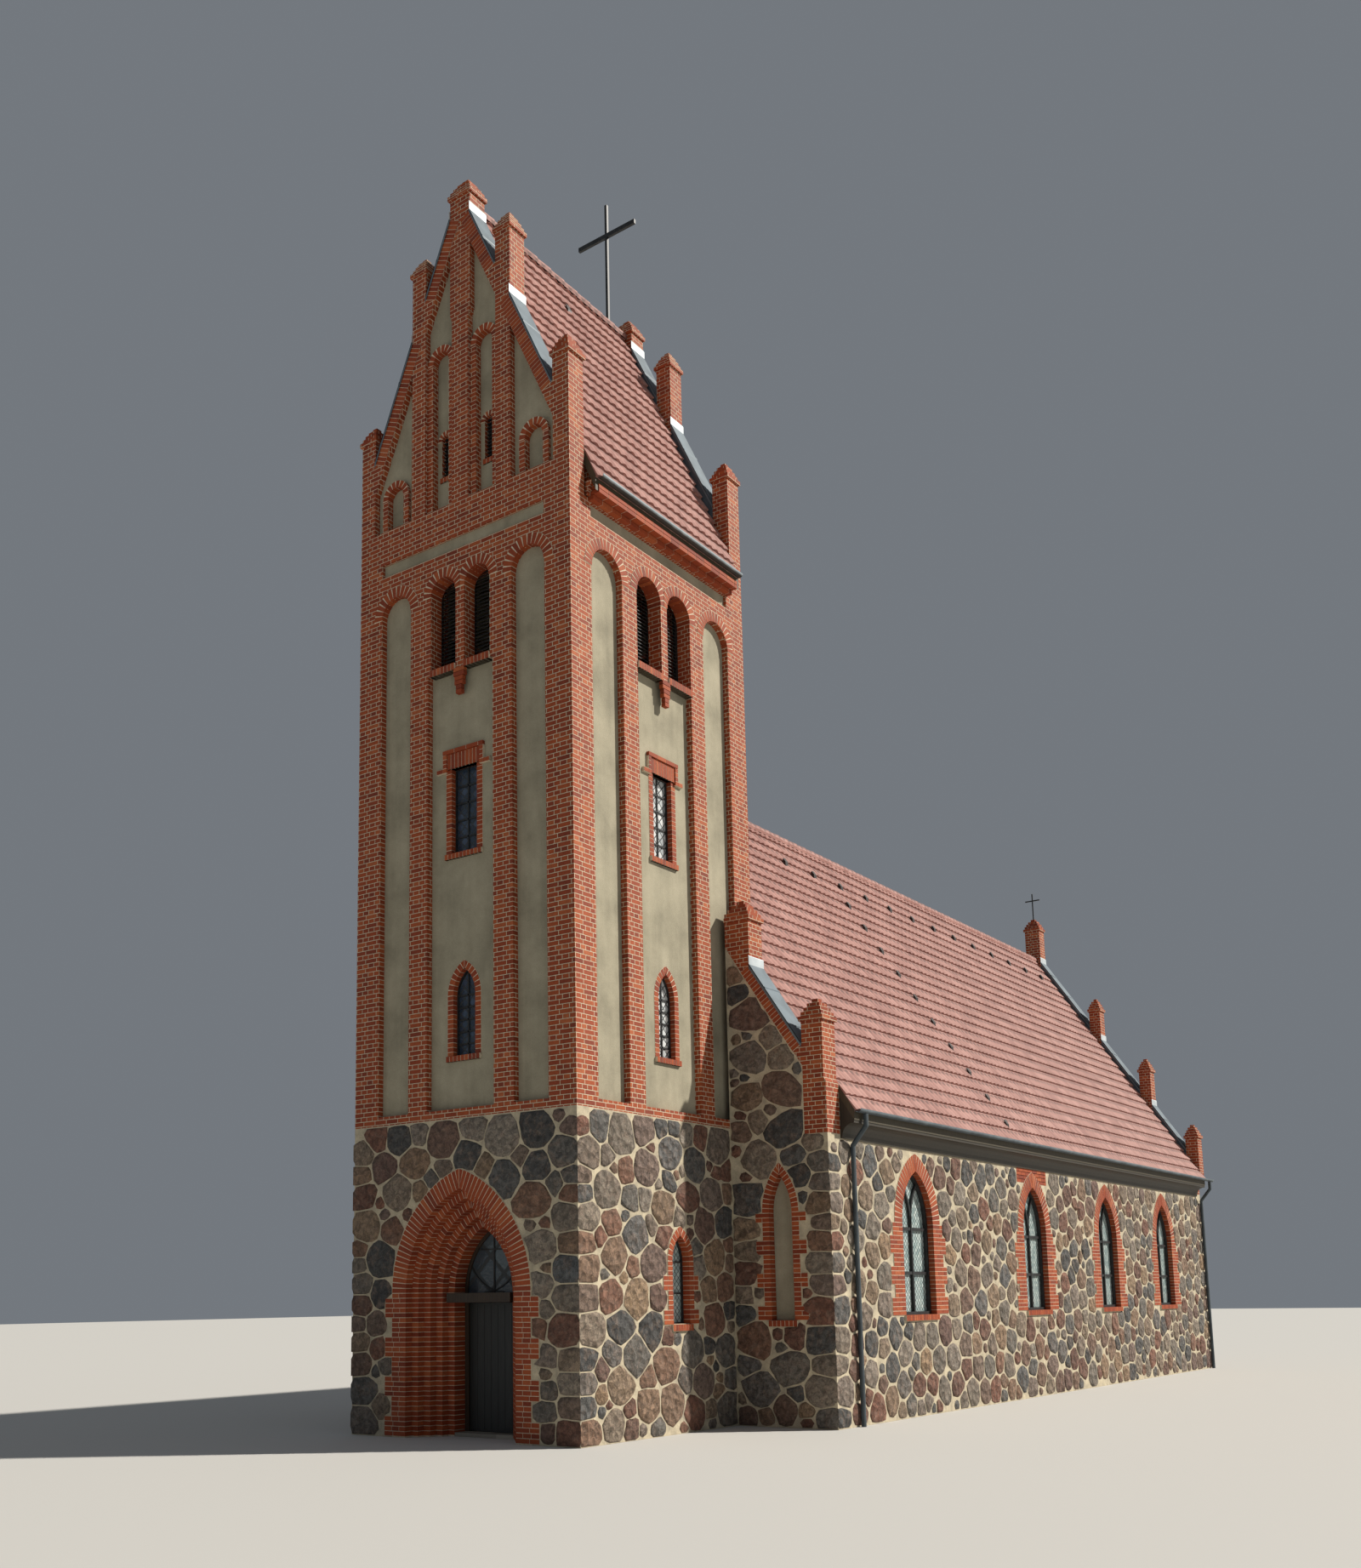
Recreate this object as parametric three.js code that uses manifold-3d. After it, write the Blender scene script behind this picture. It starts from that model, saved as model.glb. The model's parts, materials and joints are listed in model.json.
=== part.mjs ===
// Village church of fieldstone and brick: a square west tower with stepped pinnacles,
// a gabled nave, a splayed pointed portal with one door leaf, and louvred belfry openings.
// Millimetres, +Z up. The portal faces -Y, +X is the right-hand (sunny) side, the nave runs to +Y.
import * as THREE from 'three';
import { mergeVertices } from 'three/addons/utils/BufferGeometryUtils.js';
import Module from 'manifold-3d';

const wasm = await Module();
wasm.setup();

// Clearance between pieces that touch, and the brick course that many details share
const GAP = 0.3;
const COURSE = 77;
const PAST = 50;

// Tower: plan, wall thicknesses and levels
const TOWER_W = 4680;
const TOWER_D = 5250;
const BASE_TOP = 4980;
const BASE_T = 900;
const BRICK_T = 520;
const PANEL_RECESS = 120;
const PANEL_FOOT = 5130;
const PANEL_CROWN = 14205;
const FRIEZE_LOW = 14640;
const FRIEZE_HIGH = 14880;
const FRIEZE_RECESS = 60;
const TOWER_RIDGE = 21180;
const TOWER_SLOPE = 2.34;
const TOWER_PARAPET_T = 390;
const TOWER_EAVES_OUT = 200;

// Tower gable: coping line, raking verge, and the recessed fields between the shafts
const COPING = { apex: 21350, slope: 2.23 };
const VERGE_DROP = 600;
const FIELD_FOOT = 15500;
const CENTRE_SHAFT = { half: 185, corbel: 18910 };
const RING_PROUD = 60;
const NICHE_DEPTH = 190;
const GABLE_ARCHES = [
  { x: 492, half: 182, ring: 125, crown: 18468 },
  { x: 1563, half: 190, ring: 120, crown: 16310 },
];
const VENT = { x: 490, half: 90, foot: 16170, crown: 16955, depth: 300 };

// Bays across half of each tower face, from the corner inwards, and the belfry lights' outer edge
const FACES = {
  west: { width: TOWER_W, corner: 530, side: 690, pilaster: 405, lightOut: 655 },
  south: { width: TOWER_D, corner: 550, side: 840, pilaster: 420, lightOut: 812 },
};

// Belfry openings and their louvres
const BELFRY_SILL = 12600;
const BELFRY_CROWN = 14220;
const MULLION_HALF = 95;
const MULLION_DEPTH = 265;
const LOUVRE_T = 60;
const LOUVRE_FRAME = 50;
const BLADE_PITCH = 120;
const BLADE_W = 72;
const BLADE_T = 12;

// Tower windows, each centred in its bay: half width and levels
const LANCET = { half: 240, foot: 6010, spring: 7000, apex: 7430 };
const OBLONG = { half: 280, foot: 9380, top: 10830 };
const BASE_WINDOW = { half: 245, foot: 1710, spring: 2700, apex: 3120 };
const BASE_WINDOW_Y = 2690;
const PANE_T = 40;
const TOWER_PANE_DEPTH = 235;
const BASE_PANE_DEPTH = 150;

// Portal: outer arch with its ring, stepped orders, door frame and leaf
const PORTAL = { half: 1440, spring: 2250, apex: 4180 };
const PORTAL_RING = 300;
const ORDERS = 4;
const ORDER_IN = 132;
const ORDER_DEEP = 142;
const BEAM = { low: 2090, high: 2240, front: 430, half: 663 };
const FRAME_FRONT = 815;
const FRAME_BACK = 895;
const POST_W = 80;
const ARCH_FRAME_W = 60;
const FLOOR_TOP = 60;
const LEAF_T = 50;
const LEAF_SIDE_GAP = 8;
const LEAF_FOOT_GAP = 10;
const LEAF_HEAD_GAP = 8;
const HINGE = { off: 14, pin: 8, bore: 8.6, knuckle: 14, plate: 6, reach: 150, height: 90, room: 5, levels: [300, 1850] };
const HANDLE = { x: 455, z: 1050, plate: 45, high: 220, lever: 125, bar: 20, stand: 45 };
const PASSAGE = { half: 800, spring: 2300, apex: 3200 };

// Nave: plan, walls, roof
const NAVE_W = 8420;
const NAVE_FRONT = 4330;
const NAVE_END = 26400;
const NAVE_WALL_T = 900;
const NAVE_WALL_TOP = 4710;
const NAVE_RIDGE = 12105;
const NAVE_SLOPE = 1.545;
const ROOF_T = 100;
const WEST_PARAPET_RISE = 40;
const WEST_PARAPET_T = 450;
const EAST_PARAPET_RISE = 220;
const EAST_PARAPET_T = 400;
const EAVES_OUT = 270;
const EAVES_BOX_FOOT = 30;
const NAVE_WINDOW = { half: 650, foot: 1730, spring: 3380, apex: 4333 };
const NAVE_WINDOW_Y = [7630, 13430, 18150, 22640];
const NAVE_PANE_DEPTH = 170;
const WEST_NICHE = { x: 3278, half: 222, foot: 1729, spring: 3500, apex: 4148, depth: 150 };
const EAST_NICHE = { x: 1500, half: 520, foot: 1730, spring: 3380, apex: 4250, depth: 150 };

// Pinnacles: centre, width and peak, and how far each cap step draws in, as a share of the half width
const CAP_OVER = 35;
const CAP_INSETS = [0, 0.18, 0.4, 0.7];
const CAP_HEIGHT = (CAP_INSETS.length + 1) * COURSE;
const TOWER_PINNACLES = [
  { x: 0, w: 456, peak: 21595 },
  { x: 960, w: 320, peak: 20500 },
  { x: 2175, w: 330, peak: 17697 },
];
const NAVE_WEST_PINNACLES = [
  { x: 2580, w: 479, peak: 8995 },
  { x: 3980, w: 390, peak: 7065 },
];
const NAVE_EAST_PINNACLES = [
  { x: 0, w: 440, peak: 13390 },
  { x: 1725, w: 310, peak: 10680 },
  { x: 3045, w: 310, peak: 8743 },
  { x: 4205, w: 330, peak: 6740 },
];

// Rainwater goods and crosses
const GUTTER_R = 65;
const GUTTER_T = 6;
const PIPE_R = 42;
const PIPE_OFF = 75;
const PIPE_Y = [5070, 26230];
const TOWER_CROSS = { y: 4380, height: 2640, arm: 1380, bar: 55, armAt: 1915, armHigh: 90 };
const NAVE_CROSS = { height: 820, arm: 440, bar: 30, armAt: 585, armHigh: 34 };

// Names of the materials, with a plain colour for each
const FINISH = {
  fieldstone: [0x8b7d74, 0.9, 0],
  brick: [0xb3583c, 0.85, 0],
  tiles: [0xc98a78, 0.8, 0],
  timber: [0x6b6147, 0.7, 0],
  louvre: [0x23211f, 0.7, 0],
  door: [0x4a4f52, 0.6, 0],
  glass: [0x9fb4ba, 0.25, 0],
  zinc: [0x9aa6ac, 0.45, 0.8],
  iron: [0x2b2c2e, 0.5, 0.6],
  flagstone: [0x9a948a, 0.85, 0],
};

// Turns a closed three.js geometry into a solid
function solid(geometry) {
  geometry.deleteAttribute('normal');
  geometry.deleteAttribute('uv');
  const merged = mergeVertices(geometry, 1e-4);
  return new wasm.Manifold(new wasm.Mesh({
    numProp: 3,
    vertProperties: new Float32Array(merged.attributes.position.array),
    triVerts: new Uint32Array(merged.index.array),
  }));
}

// Block between two corners
function block(x0, x1, y0, y1, z0, z1) {
  const box = new THREE.BoxGeometry(x1 - x0, y1 - y0, z1 - z0);
  box.translate((x0 + x1) / 2, (y0 + y1) / 2, (z0 + z1) / 2);
  return solid(box);
}

// Outline drawn in (across, up) and carried straight through a wall. A 'west' wall runs along X
// and is pierced along Y, a 'south' wall runs along Y and is pierced along X.
const AXES = {
  west: [new THREE.Vector3(1, 0, 0), new THREE.Vector3(0, 0, 1), new THREE.Vector3(0, -1, 0)],
  south: [new THREE.Vector3(0, 1, 0), new THREE.Vector3(0, 0, 1), new THREE.Vector3(1, 0, 0)],
};
function prism(shape, wall, from, to, curveSegments = 4) {
  const geometry = new THREE.ExtrudeGeometry(shape, {
    depth: to - from, steps: 1, bevelEnabled: false, curveSegments,
  });
  geometry.applyMatrix4(new THREE.Matrix4().makeBasis(...AXES[wall]));
  if (wall === 'west') geometry.translate(0, to, 0);
  else geometry.translate(from, 0, 0);
  return solid(geometry);
}

// Outlines: a polygon, a pointed arch with two arcs, and a round-headed arch
function polygon(points) {
  return new THREE.Shape(points.map(([a, b]) => new THREE.Vector2(a, b)));
}
function pointed(centre, { half, foot, spring, apex }) {
  const rise = apex - spring;
  const radius = (half * half + rise * rise) / (2 * half);
  const lean = Math.asin(rise / radius);
  const shape = new THREE.Shape();
  shape.moveTo(centre - half, foot);
  shape.lineTo(centre + half, foot);
  shape.lineTo(centre + half, spring);
  shape.absarc(centre + half - radius, spring, radius, 0, lean, false);
  shape.absarc(centre - half + radius, spring, radius, Math.PI - lean, Math.PI, false);
  shape.closePath();
  return shape;
}
function rounded(centre, half, foot, crown) {
  const shape = new THREE.Shape();
  shape.moveTo(centre - half, foot);
  shape.lineTo(centre + half, foot);
  shape.lineTo(centre + half, crown - half);
  shape.absarc(centre, crown - half, half, 0, Math.PI, false);
  shape.closePath();
  return shape;
}
function oblong(centre, half, low, high) {
  return polygon([[centre - half, low], [centre + half, low], [centre + half, high], [centre - half, high]]);
}
// The portal's arch made smaller all round by one amount, on the same centres
function portalInset(inset) {
  const rise = PORTAL.apex - PORTAL.spring;
  const radius = (PORTAL.half ** 2 + rise ** 2) / (2 * PORTAL.half);
  const centreOff = radius - PORTAL.half;
  return {
    half: PORTAL.half - inset,
    spring: PORTAL.spring,
    apex: PORTAL.spring + Math.sqrt((radius - inset) ** 2 - centreOff ** 2),
  };
}
const union = (list) => list.reduce((sum, item) => sum.add(item));
const mirrorX = (item) => item.mirror([1, 0, 0]);
const mirrorTower = (item) => item.mirror([0, 1, 0]).translate([0, TOWER_D, 0]);

// Scene graph: every piece is one named mesh in a church-sized group
const church = new THREE.Group();
function piece(name, shape, finish) {
  const mesh = shape.getMesh();
  const geometry = new THREE.BufferGeometry();
  geometry.setAttribute('position', new THREE.BufferAttribute(new Float32Array(mesh.vertProperties), 3));
  geometry.setIndex(new THREE.BufferAttribute(new Uint32Array(mesh.triVerts), 1));
  geometry.computeVertexNormals();
  const [color, roughness, metalness] = FINISH[finish];
  const material = new THREE.MeshStandardMaterial({ color, roughness, metalness, flatShading: true });
  const result = new THREE.Mesh(geometry, material);
  result.name = name;
  church.add(result);
}

// Room under a pair of roof slopes: everything below a line that falls from the ridge
function underRoof(ridge, slope, reach, y0, y1) {
  const foot = ridge - slope * reach;
  return prism(polygon([[-reach, 0], [reach, 0], [reach, foot], [0, ridge], [-reach, foot]]), 'west', y0, y1);
}
const drop = (slope) => ROOF_T * Math.hypot(1, slope);
const TOWER_HALF = TOWER_W / 2;
const NAVE_HALF = NAVE_W / 2;

// A brick pinnacle: shaft, overhanging course, and a stepped pyramid of courses
function pinnacle({ x, w, peak }, y0, y1, foot) {
  const eaves = peak - CAP_HEIGHT + COURSE;
  const parts = [
    block(x - w / 2, x + w / 2, y0, y1, foot, eaves - COURSE + 1),
    block(x - w / 2 - CAP_OVER, x + w / 2 + CAP_OVER, y0 - CAP_OVER, y1 + CAP_OVER, eaves - COURSE, eaves),
  ];
  CAP_INSETS.forEach((inset, step) => {
    const half = (w / 2) * (1 - inset);
    const back = ((y1 - y0) / 2) * inset;
    parts.push(block(x - half, x + half, y0 + back, y1 - back, eaves - 1, eaves + (step + 1) * COURSE));
  });
  return union(parts);
}

// Tower base of fieldstone, split beside and over the portal
function towerBase() {
  const inner = TOWER_HALF - BASE_T;
  const west = block(-TOWER_HALF, TOWER_HALF, 0, BASE_T, 0, BASE_TOP)
    .subtract(prism(pointed(0, { ...PORTAL, foot: -PAST }), 'west', -PAST, BASE_T + PAST, 7));
  const side = block(PORTAL.half + GAP, TOWER_HALF, 0, BASE_T, 0, BASE_TOP).intersect(west);
  piece('tower_base_west_right', side, 'fieldstone');
  piece('tower_base_west_left', mirrorX(side), 'fieldstone');
  const over = block(-PORTAL.half, PORTAL.half, 0, BASE_T, PORTAL.spring, BASE_TOP).intersect(west);
  piece('tower_base_west_over', over, 'fieldstone');

  const flank = block(inner, TOWER_HALF, BASE_T + GAP, TOWER_D - BASE_T - GAP, 0, BASE_TOP)
    .subtract(prism(pointed(BASE_WINDOW_Y, BASE_WINDOW), 'south', inner - PAST, TOWER_HALF + PAST));
  piece('tower_base_south', flank, 'fieldstone');
  piece('tower_base_north', mirrorX(flank), 'fieldstone');
  const passage = prism(pointed(0, { ...PASSAGE, foot: -PAST }), 'west', TOWER_D - BASE_T - PAST, TOWER_D + PAST);
  const east = block(-TOWER_HALF, TOWER_HALF, TOWER_D - BASE_T, TOWER_D, 0, BASE_TOP).subtract(passage);
  piece('tower_base_east', east, 'fieldstone');
  const pane = { ...BASE_WINDOW, half: BASE_WINDOW.half - GAP, foot: BASE_WINDOW.foot + GAP, apex: BASE_WINDOW.apex - GAP };
  const face = TOWER_HALF - BASE_PANE_DEPTH;
  const window = prism(pointed(BASE_WINDOW_Y, pane), 'south', face - PANE_T, face);
  piece('base_window_south', window, 'glass');
  piece('base_window_north', mirrorX(window), 'glass');
}

// Upright round bar
function bar({ x, y }, radius, low, high) {
  const rod = new THREE.CylinderGeometry(radius, radius, high - low, 12);
  rod.rotateX(Math.PI / 2);
  rod.translate(x, y, (low + high) / 2);
  return solid(rod);
}
// The frame's half of a door hinge: a pin between two knuckles on plates
function hingePin(axis, z) {
  const half = HINGE.height / 2;
  const ends = [[z - half - 40, z - half - HINGE.room], [z + half + HINGE.room, z + half + 40]];
  return union([
    bar(axis, HINGE.pin, z - half - 30, z + half + 30),
    ...ends.flatMap(([low, high]) => [
      bar(axis, HINGE.knuckle, low, high),
      block(axis.x - 70, axis.x - 5, FRAME_BACK - 1, FRAME_BACK + HINGE.plate, low, high),
      block(axis.x - 10, axis.x, FRAME_BACK, axis.y, low, high),
    ]),
  ]);
}
// The leaf's half: a knuckle that turns on the pin, and a strap across the leaf
function hingeStrap(axis, z) {
  const half = HINGE.height / 2;
  return union([
    bar(axis, HINGE.knuckle, z - half, z + half),
    block(axis.x + 5, axis.x + HINGE.reach, FRAME_BACK - 1, FRAME_BACK + HINGE.plate, z - half, z + half),
  ]).subtract(bar(axis, HINGE.bore, z - half - PAST, z + half + PAST));
}
// Lever handle on a plate, on the face of the leaf at y
function handle(y, out) {
  const at = (from, to) => [Math.min(y + out * from, y + out * to), Math.max(y + out * from, y + out * to)];
  const { x, z, plate, high, lever, bar: thick, stand } = HANDLE;
  return union([
    block(x - plate / 2, x + plate / 2, ...at(0, 8), z - high / 2, z + high / 2),
    block(x - thick / 2, x + thick / 2, ...at(4, stand), z + 40, z + 40 + thick),
    block(x - lever, x + thick / 2, ...at(stand - thick, stand), z + 40, z + 40 + thick),
  ]);
}

// Portal brickwork: a block of the outer arch, stepped in by wider openings before narrower ones
function portal() {
  let brick = prism(pointed(0, { ...portalInset(GAP), foot: 0 }), 'west', 0, BASE_T, 7);
  for (let order = 0; order <= ORDERS; order++) {
    const shape = pointed(0, { ...portalInset(PORTAL_RING + ORDER_IN * order), foot: -PAST });
    const depth = order === ORDERS ? BASE_T + PAST : ORDER_DEEP * (order + 1);
    brick = brick.subtract(prism(shape, 'west', -PAST, depth, 7));
  }
  const lower = block(0, PORTAL.half, 0, BASE_T, 0, PORTAL.spring - GAP).intersect(brick);
  piece('portal_jamb_right', lower, 'brick');
  piece('portal_jamb_left', mirrorX(lower), 'brick');
  const upper = block(-PORTAL.half, PORTAL.half, 0, BASE_T, PORTAL.spring, PORTAL.apex).intersect(brick);
  piece('portal_arch', upper, 'brick');

  const inset = PORTAL_RING + ORDER_IN * ORDERS + GAP;
  const outer = { ...portalInset(inset), foot: BEAM.high - 1 };
  const light = { ...portalInset(inset + ARCH_FRAME_W), foot: BEAM.high };
  const postFace = outer.half - POST_W;
  const head = prism(pointed(0, outer), 'west', FRAME_FRONT, FRAME_BACK, 7)
    .subtract(prism(pointed(0, light), 'west', FRAME_FRONT - PAST, FRAME_BACK + PAST, 7));
  const post = block(postFace, outer.half, FRAME_FRONT, FRAME_BACK, FLOOR_TOP + GAP, BEAM.low + 1);
  const wide = BEAM.half - GAP;
  const seat = ORDER_DEEP * ORDERS - GAP;
  const axis = { x: -postFace + LEAF_SIDE_GAP / 2, y: FRAME_BACK + HINGE.off };
  const frame = union([
    head, post, mirrorX(post), ...HINGE.levels.map((z) => hingePin(axis, z)),
    block(-wide, wide, BEAM.front, seat, BEAM.low, BEAM.high),
    block(-outer.half, outer.half, seat - 1, FRAME_BACK, BEAM.low, BEAM.high),
  ]);
  piece('door_frame', frame, 'timber');
  const paneMiddle = (FRAME_FRONT + FRAME_BACK) / 2;
  const pane = { ...portalInset(inset + ARCH_FRAME_W + GAP), foot: BEAM.high + GAP };
  piece('tympanum_glass', prism(pointed(0, pane), 'west', paneMiddle - PANE_T / 4, paneMiddle + PANE_T / 4, 7), 'glass');

  const edge = postFace - LEAF_SIDE_GAP;
  const leaf = block(-edge, edge, FRAME_BACK - LEAF_T, FRAME_BACK,
    FLOOR_TOP + LEAF_FOOT_GAP, BEAM.low - LEAF_HEAD_GAP);
  piece('door_leaf', union([leaf, ...HINGE.levels.map((z) => hingeStrap(axis, z))]), 'door');
  piece('door_handle_outside', handle(FRAME_BACK - LEAF_T - GAP, -1), 'iron');
  piece('door_handle_inside', handle(FRAME_BACK + GAP, 1), 'iron');
}

// Tower wall of brick with recessed plaster bays, drawn from one corner. Side bays are blind arches, the middle bay holds the belfry openings.
function bayCuts(wall, face, inward) {
  const { width, corner, side, pilaster, lightOut } = FACES[wall];
  const at = (from, to) => (inward > 0 ? [face + from, face + to] : [face - to, face - from]);
  const middle = width / 2;
  const cuts = [];
  const bayHalf = middle - corner - side - pilaster;
  const lightHalf = (lightOut - MULLION_HALF) / 2;
  for (const hand of [-1, 1]) {
    const panel = rounded(middle + hand * (middle - corner - side / 2), side / 2, PANEL_FOOT, PANEL_CROWN);
    cuts.push(prism(panel, wall, ...at(-PAST, PANEL_RECESS)));
    const light = rounded(middle + hand * (lightOut - lightHalf), lightHalf, BELFRY_SILL, BELFRY_CROWN);
    cuts.push(prism(light, wall, ...at(-PAST, BRICK_T + PAST)));
  }
  cuts.push(prism(oblong(middle, bayHalf, PANEL_FOOT, BELFRY_SILL - COURSE), wall, ...at(-PAST, PANEL_RECESS)));
  cuts.push(prism(oblong(middle, bayHalf, BELFRY_SILL, BELFRY_CROWN + PAST), wall, ...at(MULLION_DEPTH, BRICK_T + PAST)));
  cuts.push(prism(oblong(middle, middle - corner, FRIEZE_LOW, FRIEZE_HIGH), wall, ...at(-PAST, FRIEZE_RECESS)));
  return { cuts, bayHalf, middle, at };
}
function windowCuts(middle, wall, at) {
  return [
    prism(pointed(middle, LANCET), wall, ...at(PANEL_RECESS - PAST, BRICK_T + PAST)),
    prism(oblong(middle, OBLONG.half, OBLONG.foot, OBLONG.top), wall, ...at(PANEL_RECESS - PAST, BRICK_T + PAST)),
  ];
}
function windowPanes(middle, wall, at) {
  const lancet = { ...LANCET, half: LANCET.half - GAP, foot: LANCET.foot + GAP, apex: LANCET.apex - GAP };
  const span = at(TOWER_PANE_DEPTH, TOWER_PANE_DEPTH + PANE_T);
  return [
    prism(pointed(middle, lancet), wall, ...span),
    prism(oblong(middle, OBLONG.half - GAP, OBLONG.foot + GAP, OBLONG.top - GAP), wall, ...span),
  ];
}
// Louvres behind both openings of one belfry wall, drawn for a face at 0 that looks to -Y
function louvres(bayHalf) {
  const half = bayHalf - GAP;
  const low = BELFRY_SILL + GAP;
  const high = BELFRY_CROWN + PAST - GAP;
  const front = MULLION_DEPTH + GAP;
  const back = front + LOUVRE_T;
  const hole = (x0, x1) => block(x0, x1, front - PAST, back + PAST, low + LOUVRE_FRAME, high - LOUVRE_FRAME);
  let grille = block(-half, half, front, back, low, high)
    .subtract(hole(-half + LOUVRE_FRAME, -MULLION_HALF))
    .subtract(hole(MULLION_HALF, half - LOUVRE_FRAME));
  const count = Math.floor((high - low - 2 * LOUVRE_FRAME) / BLADE_PITCH);
  for (let row = 0; row < count; row++) {
    const blade = new THREE.BoxGeometry(2 * half - LOUVRE_FRAME, BLADE_W, BLADE_T);
    blade.rotateX(Math.PI / 4);
    blade.translate(0, (front + back) / 2, low + LOUVRE_FRAME + (row + 0.5) * BLADE_PITCH);
    grille = grille.add(solid(blade));
  }
  return grille;
}

// Gable masonry of the tower over the west wall: parapet and pinnacles, and between the shafts
// recessed fields with a blind round arch in each, the inner ones pierced by a vent
function towerGable() {
  const top = (x) => COPING.apex - COPING.slope * x;
  const line = (x) => top(x) - VERGE_DROP;
  const [centre, middle, corner] = TOWER_PINNACLES;
  const left = (pin) => pin.x - pin.w / 2;
  const right = (pin) => pin.x + pin.w / 2;
  let gable = prism(polygon([[-TOWER_HALF, FRIEZE_HIGH], [TOWER_HALF, FRIEZE_HIGH], [TOWER_HALF, top(TOWER_HALF)],
    [0, top(0)], [-TOWER_HALF, top(TOWER_HALF)]]), 'west', 0, TOWER_PARAPET_T);
  const { half, corbel } = CENTRE_SHAFT;
  const inner = polygon([[half, FIELD_FOOT], [left(middle), FIELD_FOOT], [left(middle), line(left(middle))],
    [right(centre), line(right(centre))], [right(centre), corbel + COURSE], [(half + right(centre)) / 2, corbel + COURSE],
    [(half + right(centre)) / 2, corbel], [half, corbel]]);
  const outer = polygon([[right(middle), FIELD_FOOT], [left(corner), FIELD_FOOT], [left(corner), line(left(corner))],
    [right(middle), line(right(middle))]]);
  [inner, outer].forEach((shape, index) => {
    const arch = GABLE_ARCHES[index];
    const field = prism(shape, 'west', -PAST, PANEL_RECESS);
    const ring = prism(rounded(arch.x, arch.half + arch.ring, FIELD_FOOT - PAST, arch.crown + arch.ring), 'west',
      RING_PROUD, PANEL_RECESS + PAST, 6);
    const niche = prism(rounded(arch.x, arch.half, FIELD_FOOT, arch.crown), 'west', -PAST, NICHE_DEPTH, 6);
    gable = gable.subtract(field).subtract(mirrorX(field)).add(ring).add(mirrorX(ring))
      .subtract(niche).subtract(mirrorX(niche));
  });
  const vent = prism(rounded(VENT.x, VENT.half, VENT.foot, VENT.crown), 'west', -PAST, VENT.depth);
  gable = gable.subtract(vent).subtract(mirrorX(vent));
  for (const pin of TOWER_PINNACLES) {
    const foot = pin === centre ? corbel + COURSE : FIELD_FOOT;
    const shaft = pinnacle(pin, 0, TOWER_PARAPET_T, foot);
    gable = gable.add(shaft).add(mirrorX(shaft));
  }
  return gable;
}

function towerWalls() {
  const westParts = bayCuts('west', 0, 1);
  const shift = (item) => item.translate([-TOWER_HALF, 0, 0]);
  const blank = block(-TOWER_HALF, TOWER_HALF, 0, BRICK_T, BASE_TOP + GAP, FRIEZE_HIGH + PAST);
  const windows = windowCuts(westParts.middle, 'west', westParts.at).map(shift);
  const masonry = blank.subtract(union(westParts.cuts.map(shift)));
  const gable = towerGable();
  piece('tower_west_wall', masonry.subtract(union(windows)).add(gable), 'brick');
  piece('tower_east_wall', mirrorTower(masonry.add(gable)), 'brick');
  const westPanes = windowPanes(westParts.middle, 'west', westParts.at).map(shift);
  piece('lancet_window_west', westPanes[0], 'glass');
  piece('oblong_window_west', westPanes[1], 'glass');

  const sideParts = bayCuts('south', TOWER_HALF, -1);
  const eaves = TOWER_RIDGE - drop(TOWER_SLOPE) - GAP;
  const wallTop = FRIEZE_HIGH + 2 * BRICK_T * TOWER_SLOPE;
  const corbels = [1, 2, 3].map((row) => block(TOWER_HALF - 1, TOWER_HALF + 40 * row,
    TOWER_PARAPET_T + CAP_OVER + GAP, TOWER_D - TOWER_PARAPET_T - CAP_OVER - GAP,
    FRIEZE_HIGH + COURSE * row, FRIEZE_HIGH + COURSE * (row + 1) + 1));
  const flank = union([block(TOWER_HALF - BRICK_T, TOWER_HALF, BRICK_T + GAP, TOWER_D - BRICK_T - GAP,
    BASE_TOP + GAP, wallTop), ...corbels])
    .subtract(union(sideParts.cuts))
    .subtract(union(windowCuts(sideParts.middle, 'south', sideParts.at)))
    .intersect(underRoof(eaves, TOWER_SLOPE, TOWER_W, -PAST, TOWER_D + PAST))
    .subtract(towerEnds());
  piece('tower_south_wall', flank, 'brick');
  piece('tower_north_wall', mirrorX(flank), 'brick');
  const [lancet, tall] = windowPanes(sideParts.middle, 'south', sideParts.at);
  piece('lancet_window_south', lancet, 'glass');
  piece('lancet_window_north', mirrorX(lancet), 'glass');
  piece('oblong_window_south', tall, 'glass');
  piece('oblong_window_north', mirrorX(tall), 'glass');

  const westGrille = louvres(westParts.bayHalf);
  piece('belfry_louvres_west', westGrille, 'louvre');
  piece('belfry_louvres_east', mirrorTower(westGrille), 'louvre');
  const sideGrille = louvres(sideParts.bayHalf).rotate([0, 0, 90]).translate([TOWER_HALF, TOWER_D / 2, 0]);
  piece('belfry_louvres_south', sideGrille, 'louvre');
  piece('belfry_louvres_north', mirrorX(sideGrille), 'louvre');
}
// Room that the gable walls take at both ends of the tower's side walls
function towerEnds() {
  const end = block(-TOWER_W, TOWER_W, -PAST, TOWER_PARAPET_T + GAP, FRIEZE_HIGH - PAST, TOWER_RIDGE);
  return end.add(mirrorTower(end));
}

// A roof slope as a slab that falls towards +X
function slope(ridge, fall, reach, y0, y1) {
  const down = drop(fall);
  return prism(polygon([[GAP, ridge - fall * GAP], [GAP, ridge - down - fall * GAP],
    [reach, ridge - down - fall * reach], [reach, ridge - fall * reach]]), 'west', y0, y1);
}
// Half-round gutter that runs along Y, open at the top
function gutter(x, z, y0, y1) {
  const shape = new THREE.Shape();
  shape.absarc(x, z, GUTTER_R, Math.PI, 2 * Math.PI, false);
  shape.absarc(x, z, GUTTER_R - GUTTER_T, 2 * Math.PI, Math.PI, true);
  shape.closePath();
  return prism(shape, 'west', y0, y1, 4);
}

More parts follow.
